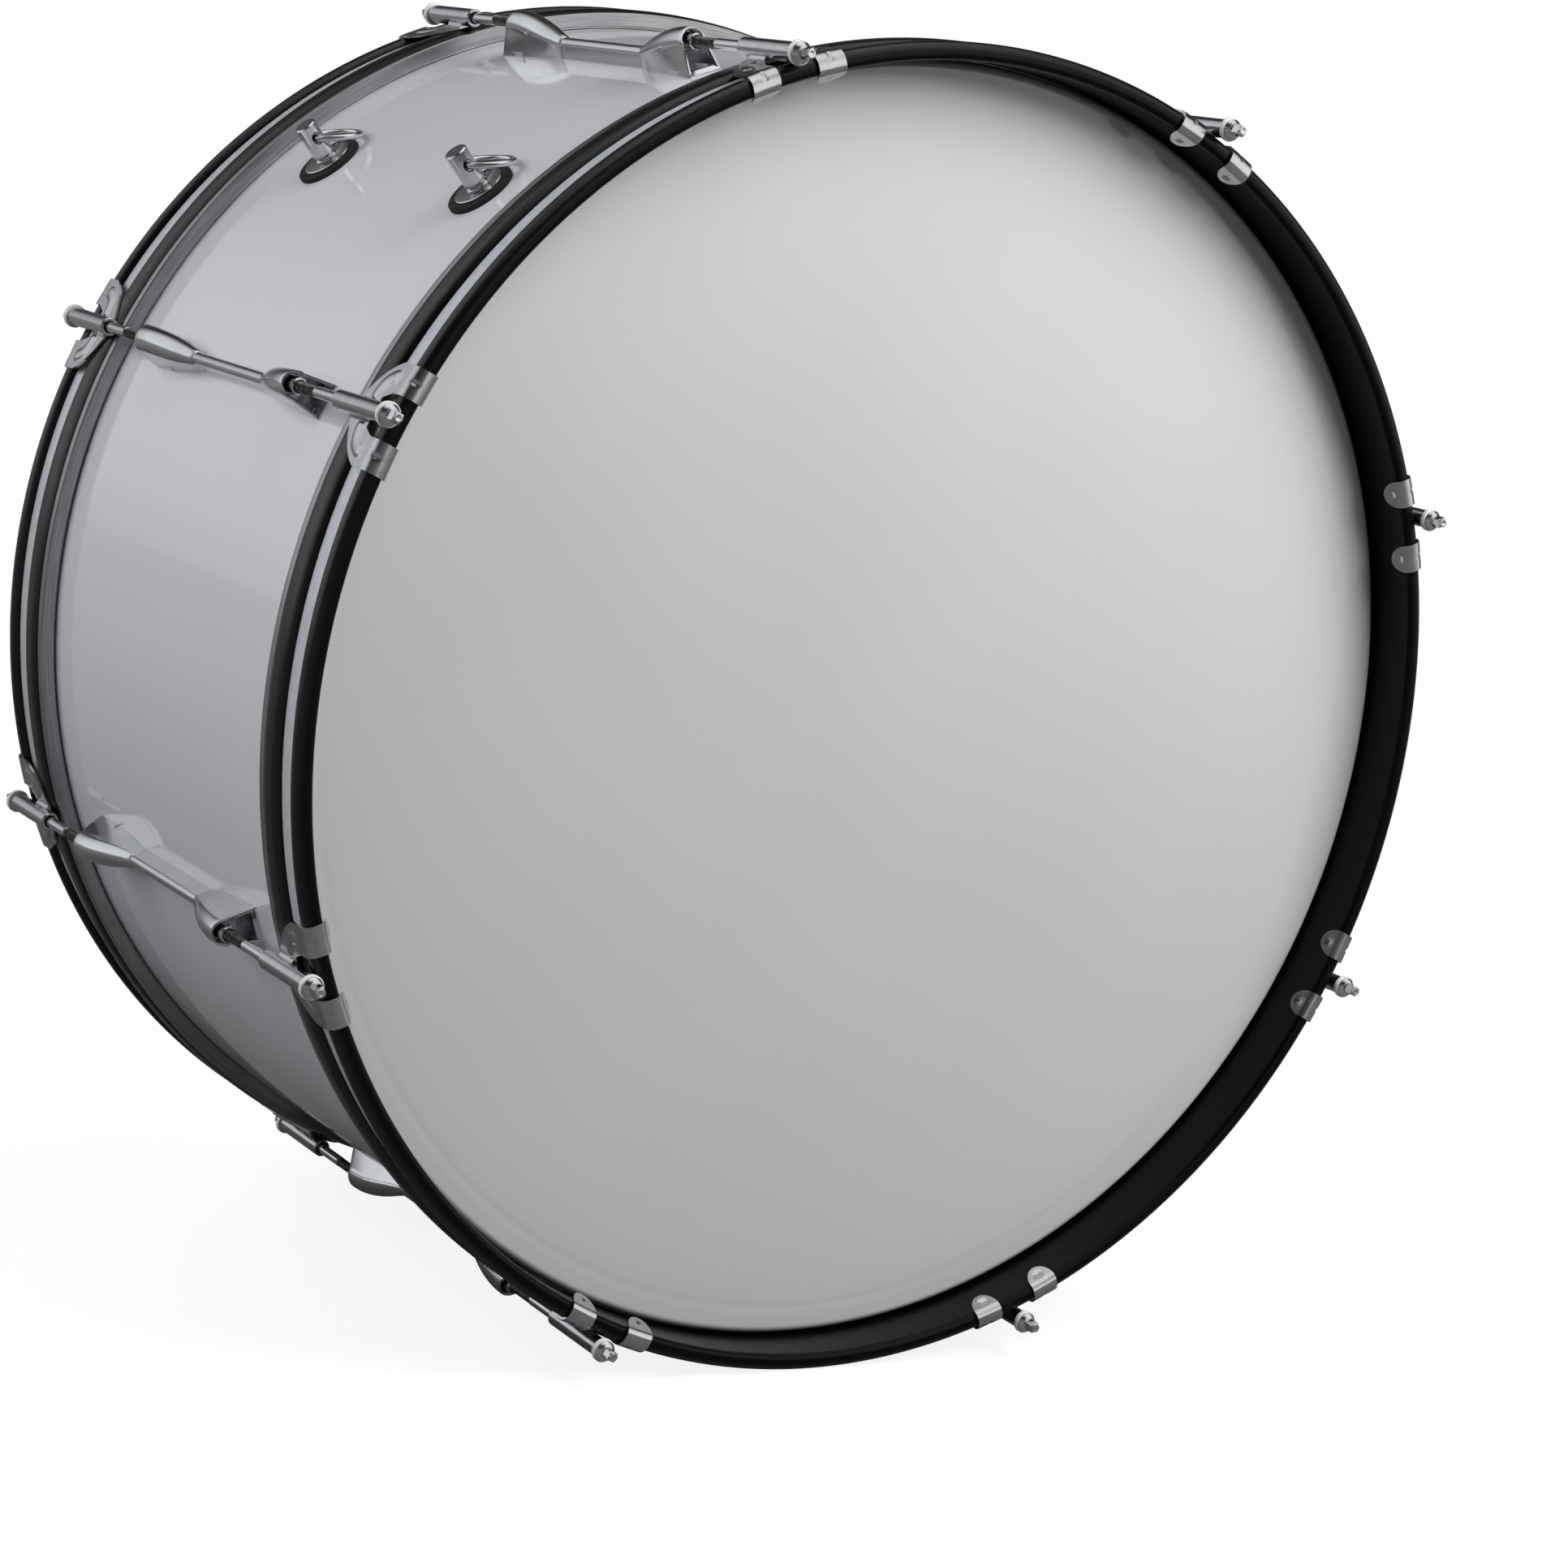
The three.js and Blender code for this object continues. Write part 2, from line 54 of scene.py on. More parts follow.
# The camera looks down a little on the batter head from its left, far enough back
# to keep the hoops nearly round, and it leans over by a few degrees.
MM = 0.001
AXIS_HEIGHT = (cad_box[0].z + cad_box[1].z) / 2
CAMERA_PLACE = Vector((-1044.66, -1590.45, 266.21)) * MM
CAMERA_RIGHT = Vector((0.828641, -0.538758, 0.151967))
CAMERA_UP = Vector((-0.031591, 0.226037, 0.973606))
CAMERA_LENS = 80.82
CAMERA_SENSOR = 36

bpy.ops.object.camera_add()
camera = bpy.context.object
camera.data.lens = CAMERA_LENS
camera.data.sensor_width = CAMERA_SENSOR
camera_axes = Matrix((CAMERA_RIGHT, CAMERA_UP, CAMERA_RIGHT.cross(CAMERA_UP))).transposed()
camera.matrix_world = camera_axes.to_4x4()
camera.location = CAMERA_PLACE + Vector((0, 0, AXIS_HEIGHT))
bpy.context.scene.camera = camera
bpy.context.scene.view_settings.view_transform = "Standard"


# The studio is a plain floor, a pale room and large soft lamps. Room and floor show white
# to the camera. Metal sees a darker room with a pale horizon and three soft windows in it.
FLOOR_SIZE = 14
FLOOR_COLOUR = "#6c6c6d"
FLOOR_ROUGHNESS = 0.9
# The floor's own glow for the camera, and the reach from which it fades to plain white
FLOOR_LIFT = 0.87
FLOOR_FADE = (0.9, 2.2)
# How bright metal sees the far floor, and the room's even light on matt things
HORIZON = 0.26
ROOM_LIGHT = 0.08
ROOM_TINT = "#f4f4f7"
WHITE = (1, 1, 1, 1)
# What metal sees of the room, from straight below to straight above
ROOM_STEPS = [
    (0.0, "#3c3c3e"), (0.46, "#68686b"), (0.52, "#8c8c8e"),
    (0.6, "#646467"), (0.75, "#343333"), (1.0, "#4a4846"),
]
# Each soft window that metal sees: direction, colour, strength, and the cosines at
# which it starts and is full
WINDOWS = [
    ((-0.70, 0.55, 0.45), "#f3f5f7", 0.9, 0.66, 0.99),
    ((0.66, -0.70, 0.28), "#fdfdfc", 1.1, 0.74, 0.99),
    ((0.10, -0.20, 0.97), "#ffffff", 1.1, 0.7, 0.99),
]
# Each lamp: name, place and size in metres, power in watts
LAMPS = [
    ("left_softbox", (-2.6, 0.5, 1.5), 2.2, 51),
    ("front_softbox", (0.65, -1.05, 1.6), 1.3, 43),
    ("top_softbox", (-0.6, -0.6, 3.2), 2.6, 8),
    ("rear_softbox", (0.5, 2.3, 0.8), 1.6, 36),
]


def paint(code):
    """An sRGB hex colour as the linear colour that a shader takes."""
    shares = [int(code[i:i + 2], 16) / 255 for i in (1, 3, 5)]
    return (*(s / 12.92 if s <= 0.04045 else ((s + 0.055) / 1.055) ** 2.4 for s in shares), 1)


def node(owner, kind, inputs=None, stops=(), **settings):
    """A shader node: its inputs take values or other nodes' outputs, and a ramp has stops."""
    made = owner.node_tree.nodes.new("ShaderNode" + kind)
    for name, value in settings.items():
        setattr(made, name, value)
    for name, value in (inputs or {}).items():
        if isinstance(value, bpy.types.NodeSocket):
            owner.node_tree.links.new(value, made.inputs[name])
        else:
            made.inputs[name].default_value = value
    for i, (place, colour) in enumerate(stops):
        stop = made.color_ramp.elements[i] if i < 2 else made.color_ramp.elements.new(place)
        stop.position = place
        stop.color = paint(colour)
    return made


def finish(name, **settings):
    """A material named for what a thing is made of, with its shader's own settings."""
    made = bpy.data.materials.new(name)
    made.use_nodes = True
    for key, value in settings.items():
        made.node_tree.nodes["Principled BSDF"].inputs[key.replace("_", " ")].default_value = value
    return made


def link(owner, output, name):
    """Feeds an input of a material's shader from another node's output."""
    owner.node_tree.links.new(output, owner.node_tree.nodes["Principled BSDF"].inputs[name])


room = bpy.data.worlds.new("studio_room")
room.use_nodes = True
room.node_tree.nodes.clear()
rays = node(room, "LightPath")
direction = node(room, "TexCoord")
height = node(room, "SeparateXYZ", {"Vector": direction.outputs["Generated"]})
height_share = node(room, "MapRange", {"Value": height.outputs["Z"], "From Min": -1, "From Max": 1})
room_tones = node(room, "ValToRGB", {"Fac": height_share.outputs["Result"]}, ROOM_STEPS)
seen_in_metal = node(room, "Background", {"Color": room_tones.outputs["Color"]})
for way, tint, strength, start, full in WINDOWS:
    facing = node(room, "VectorMath", {
        0: direction.outputs["Generated"], 1: Vector(way).normalized(),
    }, operation="DOT_PRODUCT")
    window_share = node(room, "MapRange", {
        "Value": facing.outputs["Value"], "From Min": start, "From Max": full, "To Max": strength,
    }, interpolation_type="SMOOTHSTEP")
    window = node(room, "Background", {
        "Color": paint(tint), "Strength": window_share.outputs["Result"],
    })
    seen_in_metal = node(room, "AddShader", {
        0: seen_in_metal.outputs[0], 1: window.outputs["Background"],
    })
falling_light = node(room, "Background", {"Color": paint(ROOM_TINT), "Strength": ROOM_LIGHT})
seen_by_camera = node(room, "Background", {"Color": WHITE})
gloss = node(room, "MixShader", {
    "Fac": rays.outputs["Is Glossy Ray"],
    1: falling_light.outputs["Background"],
    2: seen_in_metal.outputs[0],
})
view_mix = node(room, "MixShader", {
    "Fac": rays.outputs["Is Camera Ray"],
    1: gloss.outputs["Shader"],
    2: seen_by_camera.outputs["Background"],
})
node(room, "OutputWorld", {"Surface": view_mix.outputs["Shader"]})
bpy.context.scene.world = room

bpy.ops.object.select_all(action="DESELECT")
bpy.ops.mesh.primitive_plane_add(size=FLOOR_SIZE)
floor = bpy.context.object
floor.name = "pale_floor"
floor_paint = finish(
    "matt_floor_paint", Base_Color=paint(FLOOR_COLOUR), Roughness=FLOOR_ROUGHNESS, Emission_Color=WHITE,
)
floor_shader = floor_paint.node_tree.nodes["Principled BSDF"]
floor_rays = node(floor_paint, "LightPath")
floor_lift = node(floor_paint, "Math", {
    0: floor_rays.outputs["Is Camera Ray"], 1: FLOOR_LIFT,
}, operation="MULTIPLY")
link(floor_paint, floor_lift.outputs["Value"], "Emission Strength")
floor_place = node(floor_paint, "TexCoord")
floor_reach = node(floor_paint, "VectorMath", {
    0: floor_place.outputs["Object"],
}, operation="LENGTH")
floor_fade = node(floor_paint, "MapRange", {
    "Value": floor_reach.outputs["Value"], "From Min": FLOOR_FADE[0], "From Max": FLOOR_FADE[1],
}, interpolation_type="SMOOTHSTEP")
floor_watched = node(floor_paint, "Math", {
    0: floor_rays.outputs["Is Camera Ray"], 1: floor_rays.outputs["Is Glossy Ray"],
}, operation="ADD")
floor_far = node(floor_paint, "Math", {
    0: floor_watched.outputs["Value"], 1: floor_fade.outputs["Result"],
}, operation="MULTIPLY")
floor_level = node(floor_paint, "MapRange", {
    "Value": floor_rays.outputs["Is Camera Ray"], "To Min": HORIZON, "To Max": 1,
})
floor_white = node(floor_paint, "Emission", {
    "Color": WHITE, "Strength": floor_level.outputs["Result"],
})
floor_mix = node(floor_paint, "MixShader", {
    "Fac": floor_far.outputs["Value"], 1: floor_shader.outputs["BSDF"], 2: floor_white.outputs["Emission"],
})
floor_out = floor_paint.node_tree.nodes["Material Output"]
floor_paint.node_tree.links.new(floor_mix.outputs["Shader"], floor_out.inputs["Surface"])
floor.data.materials.append(floor_paint)

for lamp_name, lamp_place, lamp_size, lamp_power in LAMPS:
    bpy.ops.object.light_add(type="AREA", location=lamp_place)
    lamp = bpy.context.object
    lamp.name = lamp_name
    lamp.data.shape = "SQUARE"
    lamp.data.size = lamp_size
    lamp.data.energy = lamp_power
    lamp.visible_glossy = False
    aim = Vector((0, 0, AXIS_HEIGHT)) - Vector(lamp_place)
    lamp.rotation_euler = aim.to_track_quat("-Z", "Y").to_euler()


# Shell: a tube of bent birch plies. Its outer edge is rounded and its inner edge cut
# back, so that the head bears on the crest between them. Wrap and heads hide it.
AXLE = Vector((0, 0, AXIS_HEIGHT))
DEPTH = Vector((0, 1, 0))
UP = Vector((0, 0, 1))
SHELL_INNER = 322.9
SHELL_OUTER = 329.4
SHELL_EDGE = 152.4
BEARING_ROUND = 3.2
BEARING_CUT = 2.8
# A grain line's size across, along and up, and the wall's thickness from tone to tone
BIRCH_GRAIN = (11.11, 1.111, 11.11)
BIRCH_RINGS = 6.6
# Steps of a full turn, the angle past which an edge stays sharp, and how near to each
# other corners merge
RING_STEPS = 360
SMOOTH_ANGLE = math.radians(28)
MERGE = 0.002 * MM


def arc(centre, radius, start, stop, steps=6):
    """Corners on an arc of a section: turn 0 faces out from the axis, 90 along it."""
    turns = [math.radians(start + (stop - start) * i / steps) for i in range(steps + 1)]
    return [(centre[0] + radius * math.cos(t), centre[1] + radius * math.sin(t)) for t in turns]


def turned(name, corners, steps=RING_STEPS, centre=AXLE, along=DEPTH, out=UP):
    """A section of (radius, reach) corners in mm, closed unless it starts on the axis, and spun."""
    if corners[0][0]:
        corners = corners + corners[:1]
    places = [centre + (out * radius + along * reach) * MM for radius, reach in corners]
    bpy.ops.object.select_all(action="DESELECT")
    bpy.ops.mesh.primitive_plane_add(size=MM, location=places[0])
    bpy.context.object.name = name
    bpy.ops.object.transform_apply()
    bpy.ops.object.mode_set(mode="EDIT")
    bpy.ops.mesh.select_all(action="SELECT")
    bpy.ops.mesh.merge(type="CENTER")
    for here, there in zip(places, places[1:]):
        bpy.ops.mesh.extrude_region_move(TRANSFORM_OT_translate={"value": there - here})
    bpy.ops.mesh.select_all(action="SELECT")
    bpy.ops.mesh.spin(steps=steps, angle=2 * math.pi, center=centre, axis=along)
    bpy.ops.mesh.select_all(action="SELECT")
    bpy.ops.mesh.remove_doubles(threshold=MERGE)
    bpy.ops.mesh.normals_make_consistent(inside=False)
    bpy.ops.object.mode_set(mode="OBJECT")
    bpy.ops.object.shade_smooth_by_angle(angle=SMOOTH_ANGLE)
    return bpy.context.object


def about_the_axle(owner):
    """Object coordinates measured from the drum's axle."""
    place = node(owner, "TexCoord")
    return node(owner, "Mapping", {
        "Vector": place.outputs["Object"], "Location": tuple(-a for a in AXLE),
    }).outputs["Vector"]


def fit(piece, material, body, slot, *nodes):
    """Gives a piece its finish and its CAD body, and lets it stand for its CAD nodes."""
    piece.data.materials.clear()
    piece.data.materials.append(material)
    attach(piece, body)
    if nodes:
        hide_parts(*nodes)


# Birch plies, sanded and sealed: pale straw with fine grain, darker and paler by turns
# through the wall's thickness
birch = finish("birch_plywood", Roughness=0.55)
birch_place = about_the_axle(birch)
birch_stretch = node(birch, "Mapping", {
    "Vector": birch_place, "Scale": tuple(1 / (size * MM) for size in BIRCH_GRAIN),
})
birch_grain = node(birch, "TexNoise", {
    "Vector": birch_stretch.outputs["Vector"], "Scale": 1.0, "Detail": 6,
})
birch_rings = node(birch, "TexWave", {
    "Vector": birch_place, "Scale": 2 * math.pi / (20 * BIRCH_RINGS * MM), "Distortion": 0.4,
}, wave_type="RINGS", rings_direction="Y")
birch_share = node(birch, "Math", {
    0: birch_rings.outputs["Fac"], 1: birch_grain.outputs["Fac"],
}, operation="MULTIPLY")
birch_tones = node(birch, "ValToRGB", {"Fac": birch_share.outputs["Value"]}, [
    (0.0, "#a5824f"), (1.0, "#e2c797"),
])
link(birch, birch_tones.outputs["Color"], "Base Color")

outer_edge = arc((SHELL_OUTER - BEARING_ROUND, SHELL_EDGE - BEARING_ROUND), BEARING_ROUND, 0, 90)
shell_half = outer_edge + [
    (SHELL_INNER + BEARING_CUT, SHELL_EDGE),
    (SHELL_INNER, SHELL_EDGE - BEARING_CUT),
]
shell = turned("birch_shell", shell_half + [(r, -d) for r, d in reversed(shell_half)])
fit(shell, birch, "drum", "shell_wood", "shell")


# Wrap: a thin sheet of gloss white PVC glued round the shell. It stops just short of the
# bearing edges, and the heads' collars slide over it.
WRAP_OUTER = 330.2
WRAP_INNER = 329.5
WRAP_EDGE = 148.2
WRAP_ROUND = 0.25
# The last loop of the flat side, this far in from the edge, keeps the side's shading flat
WRAP_FLAT = 1.2

# Calendered PVC sheet: a hard mirror gloss over a flat white, drawn to a faint waviness
# by the glued shell beneath, a hand's breadth long, with a trace of orange peel
white_pvc = finish(
    "gloss_white_pvc", Base_Color=paint("#d3d5da"), Roughness=0.1, IOR=1.53,
    Coat_Weight=0.6, Coat_Roughness=0.03,
)
pvc_place = about_the_axle(white_pvc)
pvc_wave = node(white_pvc, "TexNoise", {"Vector": pvc_place, "Scale": 1 / (90 * MM), "Detail": 1})
pvc_peel = node(white_pvc, "TexNoise", {"Vector": pvc_place, "Scale": 1 / (3 * MM), "Detail": 2})
pvc_soft = node(white_pvc, "Bump", {
    "Height": pvc_wave.outputs["Fac"], "Strength": 0.35, "Distance": 1.2 * MM,
})
pvc_bump = node(white_pvc, "Bump", {
    "Height": pvc_peel.outputs["Fac"], "Strength": 0.08, "Distance": 0.05 * MM,
    "Normal": pvc_soft.outputs["Normal"],
})
link(white_pvc, pvc_bump.outputs["Normal"], "Normal")

wrap_half = [(WRAP_INNER, 0), (WRAP_INNER, WRAP_EDGE)]
wrap_half += arc((WRAP_OUTER - WRAP_ROUND, WRAP_EDGE - WRAP_ROUND), WRAP_ROUND, 90, 0, 3)
wrap_half += [(WRAP_OUTER, WRAP_EDGE - WRAP_FLAT)]
wrap = turned("white_wrap_sheet", wrap_half + [(r, -d) for r, d in reversed(wrap_half[1:])])
fit(wrap, white_pvc, "drum", "white_wrap", "shell_wrap")


# Heads: polyester film, heat-formed over the bearing edge into a collar whose rim is
# gripped in the flesh hoop. A shallow crease runs round inside the edge.
FILM_OUTER = 153.0
FILM_THICKNESS = 0.3
# The flat's last loop lies this far inside the collar's bend
FILM_FLAT = 0.5
COLLAR_RADIUS = 330.8
COLLAR_CORNER = 4.3
CREASE_RADIUS = 316
CREASE_DEPTH = 0.08
CREASE_WIDTH = 2.4
FLANGE_PLACE = 139.9
FLANGE_REACH = 336.8
FRONT = Matrix.Rotation(math.pi, 4, "Z")


def copied(piece, name, move):
    """A copy with its own mesh, moved in its mesh."""
    twin = piece.copy()
    twin.data = piece.data.copy()
    twin.name = name
    twin.data.transform(move)
    bpy.context.collection.objects.link(twin)
    return twin


def both_sides(stem, section, material, slot, node_stem):
    """Spins a section for the rear side, and turns a copy of it round to the front."""
    rear = turned(f"{stem}_rear", section)
    front = copied(rear, f"{stem}_front", FRONT)
    fit(rear, material, "drum", slot, f"{node_stem}_rear")
    fit(front, material, "drum", slot, f"{node_stem}_front")


# Smooth white-coated polyester: satin, with a fine grain that dulls its mirror, drawn
# coarser than the real one so that it shows
coated_film = finish(
    "coated_polyester_film", Roughness=0.15, IOR=1.55,
    Subsurface_Weight=0.05, Subsurface_Radius=(0.002, 0.002, 0.002),
)
film_place = about_the_axle(coated_film)
film_cloud = node(coated_film, "TexNoise", {
    "Vector": film_place, "Scale": 1 / (180 * MM), "Detail": 2,
})
film_tones = node(coated_film, "ValToRGB", {"Fac": film_cloud.outputs["Fac"]}, [
    (0.3, "#cfcfcf"), (0.7, "#d3d3d2"),
])
link(coated_film, film_tones.outputs["Color"], "Base Color")
film_grain = node(coated_film, "TexNoise", {
    "Vector": film_place, "Scale": 1 / (1.2 * MM), "Detail": 3,
})
film_bump = node(coated_film, "Bump", {
    "Height": film_grain.outputs["Fac"], "Strength": 0.05, "Distance": 0.02 * MM,
})
link(coated_film, film_bump.outputs["Normal"], "Normal")

collar_centre = (COLLAR_RADIUS - COLLAR_CORNER, FILM_OUTER - COLLAR_CORNER)
film_section = [
    (0, FILM_OUTER),
    (CREASE_RADIUS - 2 * CREASE_WIDTH, FILM_OUTER),
    (CREASE_RADIUS - CREASE_WIDTH, FILM_OUTER),
    (CREASE_RADIUS - CREASE_WIDTH / 3, FILM_OUTER - CREASE_DEPTH),
    (CREASE_RADIUS + CREASE_WIDTH / 3, FILM_OUTER - CREASE_DEPTH),
    (CREASE_RADIUS + CREASE_WIDTH, FILM_OUTER),
    (CREASE_RADIUS + 2 * CREASE_WIDTH, FILM_OUTER),
    (collar_centre[0] - FILM_FLAT, FILM_OUTER),
]
film_section += arc(collar_centre, COLLAR_CORNER, 90, 0, 10)
film_section += [
    (COLLAR_RADIUS, FLANGE_PLACE + FILM_THICKNESS / 2),
    (FLANGE_REACH, FLANGE_PLACE + FILM_THICKNESS / 2),
    (FLANGE_REACH, FLANGE_PLACE - FILM_THICKNESS / 2),
    (COLLAR_RADIUS - FILM_THICKNESS, FLANGE_PLACE - FILM_THICKNESS / 2),
]
film_section += arc(collar_centre, COLLAR_CORNER - FILM_THICKNESS, 0, 90, 10)
film_section += [(0, FILM_OUTER - FILM_THICKNESS)]
both_sides("film", film_section, coated_film, "head_film", "head")


# Flesh hoops: aluminium strip rolled into a channel that holds the film's rim, and
# brushed round its length. The counterhoop bears on its front.
FLESH_OUTER = 339.0
FLESH_INNER = 331.6
FLESH_FOOT = 137.3
FLESH_TOP = 142.5
FLESH_SHEET = 1.0
FLESH_LIP = 331.9
FLESH_CORNER = 0.9
# A brush line's width in mm, and how many lines follow each other in a radian
BRUSH_LINE = 0.45
BRUSH_RUNS = 9


def radius_of(owner, place):
    """How far a place about the axle lies from it."""
    flat = node(owner, "Mapping", {"Vector": place, "Scale": (1, 0, 1)})
    return node(owner, "VectorMath", {0: flat.outputs["Vector"]}, operation="LENGTH").outputs["Value"]


# Extruded aluminium, linish-brushed: soft metal grey with fine lines round the hoop,
# drawn wider than the real ones so that they show
brushed_aluminium = finish("brushed_aluminium", Metallic=1.0, Roughness=0.34)
aluminium_place = about_the_axle(brushed_aluminium)
ring_place = node(brushed_aluminium, "SeparateXYZ", {"Vector": aluminium_place})
ring_turn = node(brushed_aluminium, "Math", {
    0: ring_place.outputs["X"], 1: ring_place.outputs["Z"],
}, operation="ARCTAN2")
unrolled = node(brushed_aluminium, "CombineXYZ", {
    "X": ring_turn.outputs["Value"], "Y": ring_place.outputs["Y"],
    "Z": radius_of(brushed_aluminium, aluminium_place),
})
brush_stretch = node(brushed_aluminium, "Mapping", {
    "Vector": unrolled.outputs["Vector"],
    "Scale": (BRUSH_RUNS, 1 / (BRUSH_LINE * MM), 1 / (BRUSH_LINE * MM)),
})
brush = node(brushed_aluminium, "TexNoise", {
    "Vector": brush_stretch.outputs["Vector"], "Scale": 1.0, "Detail": 3,
})
aluminium_tones = node(brushed_aluminium, "ValToRGB", {"Fac": brush.outputs["Fac"]}, [
    (0.3, "#8c8e90"), (0.7, "#b8b9bb"),
])
link(brushed_aluminium, aluminium_tones.outputs["Color"], "Base Color")
brush_bump = node(brushed_aluminium, "Bump", {
    "Height": brush.outputs["Fac"], "Strength": 0.35, "Distance": 0.06 * MM,
})
link(brushed_aluminium, brush_bump.outputs["Normal"], "Normal")

flesh_section = [(FLESH_INNER, FLESH_TOP - FLESH_SHEET), (FLESH_INNER, FLESH_TOP)]
flesh_section += arc((FLESH_OUTER - FLESH_CORNER, FLESH_TOP - FLESH_CORNER), FLESH_CORNER, 90, 0, 5)
flesh_section += arc((FLESH_OUTER - FLESH_CORNER, FLESH_FOOT + FLESH_CORNER), FLESH_CORNER, 0, -90, 5)
flesh_section += [
    (FLESH_LIP, FLESH_FOOT),
    (FLESH_LIP, FLESH_FOOT + FLESH_SHEET),
    (FLESH_OUTER - FLESH_SHEET, FLESH_FOOT + FLESH_SHEET),
    (FLESH_OUTER - FLESH_SHEET, FLESH_TOP - FLESH_SHEET),
]
both_sides("flesh_channel", flesh_section, brushed_aluminium, "brushed_aluminium", "flesh_hoop")


# Counterhoops: deep hoops that the claws draw down on the flesh hoops. Two round beads
# stand either side of a groove, and the front bead rolls over into the inner wall.
CREST = 340.6
BORE = 331.5
HOOP_BACK = 142.8
HOOP_FRONT = 181.6
REBATE = (332.0, 155.0)
GROOVE_RIM = 337.2
GROOVE_FLOOR = 336.3
GROOVE = (158.7, 171.6)
# The section's rounds: radius and reach of the centre, own radius, and the turns of the
# three that aren't quarters
BACK_BEAD_HEEL = (329.3, 148.25, 11.3)
BACK_BEAD_FRONT = (334.53, 153.25, 6.07)
FRONT_BEAD_BACK = (335.9, 176.2, 4.7)
HEEL_TURN = -28.8
BACK_BEAD_TURN = 63.9
FRONT_BEAD_TURN = -74.0
LIP_OUTER = (336.2, 177.2, 4.4)
LIP_INNER = (334.5, 178.6, 3.0)
# The enamel's gloss inside, and on all that stands further out than a radius
BORE_GLOSS = 0.13
BEAD_GLOSS = 0.5
BEAD_GLOSS_RADIUS = 339.2

# Black enamel stoved on the hoop: near black with a slight orange peel, waxed to a gloss
# on the outer beads and left duller inside
black_enamel = finish(
    "stoved_black_enamel", Base_Color=paint("#040404"), Specular_IOR_Level=BORE_GLOSS,
)
enamel_place = about_the_axle(black_enamel)
enamel_peel = node(black_enamel, "TexNoise", {
    "Vector": enamel_place, "Scale": 1 / (2.4 * MM), "Detail": 2,
})
enamel_bump = node(black_enamel, "Bump", {
    "Height": enamel_peel.outputs["Fac"], "Strength": 0.18, "Distance": 0.05 * MM,
})
link(black_enamel, enamel_bump.outputs["Normal"], "Normal")
enamel_wear = node(black_enamel, "TexNoise", {
    "Vector": enamel_place, "Scale": 1 / (45 * MM), "Detail": 4,
})
enamel_roughness = node(black_enamel, "MapRange", {
    "Value": enamel_wear.outputs["Fac"], "To Min": 0.2, "To Max": 0.32,
})
link(black_enamel, enamel_roughness.outputs["Result"], "Roughness")
enamel_gloss = node(black_enamel, "MapRange", {
    "Value": radius_of(black_enamel, enamel_place),
    "From Min": GROOVE_FLOOR * MM, "From Max": BEAD_GLOSS_RADIUS * MM,
    "To Min": BORE_GLOSS, "To Max": BEAD_GLOSS,
})
link(black_enamel, enamel_gloss.outputs["Result"], "Specular IOR Level")

hoop_section = [(REBATE[0], HOOP_BACK)]
hoop_section += arc(BACK_BEAD_HEEL[:2], BACK_BEAD_HEEL[2], HEEL_TURN, 0, 5)
hoop_section += arc(BACK_BEAD_FRONT[:2], BACK_BEAD_FRONT[2], 0, BACK_BEAD_TURN, 7)
hoop_section += [
    (GROOVE_RIM, GROOVE[0]), (GROOVE_FLOOR, GROOVE[0]),
    (GROOVE_FLOOR, GROOVE[1]), (GROOVE_RIM, GROOVE[1]),
]
hoop_section += arc(FRONT_BEAD_BACK[:2], FRONT_BEAD_BACK[2], FRONT_BEAD_TURN, 0, 8)
hoop_section += arc(LIP_OUTER[:2], LIP_OUTER[2], 0, 90, 9)
hoop_section += arc(LIP_INNER[:2], LIP_INNER[2], 90, 180, 7)
hoop_section += [(BORE, REBATE[1]), REBATE]
both_sides("counterhoop", hoop_section, black_enamel, "black_hoop", "hoop")


# Stripes: a pale foil strip is glued into the groove of each hoop, with its face level
# with the groove's rims and a hair of play at both edges.
STRIPE_FACE = 337.15
STRIPE_BACK = 336.4
STRIPE_PLAY = 0.1

# Silver-white foil under clear lacquer: bright and a little blue, with a soft metal sheen
silver_foil = finish(
    "lacquered_silver_foil", Metallic=0.15, Roughness=0.3, Coat_Weight=0.4, Coat_Roughness=0.08,
)
foil_grain = node(silver_foil, "TexNoise", {
    "Vector": about_the_axle(silver_foil), "Scale": 1 / (6 * MM), "Detail": 3,
})
foil_tones = node(silver_foil, "ValToRGB", {"Fac": foil_grain.outputs["Fac"]}, [
    (0.3, "#bcc0c7"), (0.7, "#cacdd3"),
])
link(silver_foil, foil_tones.outputs["Color"], "Base Color")

stripe_section = [
    (STRIPE_BACK, GROOVE[0] + STRIPE_PLAY), (STRIPE_FACE, GROOVE[0] + STRIPE_PLAY),
    (STRIPE_FACE, GROOVE[1] - STRIPE_PLAY), (STRIPE_BACK, GROOVE[1] - STRIPE_PLAY),
]
both_sides("foil_stripe", stripe_section, silver_foil, "hoop_stripe", "hoop_inlay")


# Claws: each is stamped from one steel sheet. Two wings with pressed ribs lie on the hoop
# and run on as straps over its lip to splayed tabs, with a punch dent in strap and tab. A
# neck between the wings rises to a rolled tube that carries the rod.
STATIONS = 8
ROD_PLACE = 346.0
STATION = AXLE + UP * ROD_PLACE * MM
CLAW_SHEET = 1.3
CLAW_GAP = 0.3
CLAW_BACK = 145.4
CLAW_HALF = 27.5
CLAW_SMOOTH = math.radians(35)
SHEET_STEP = 0.8
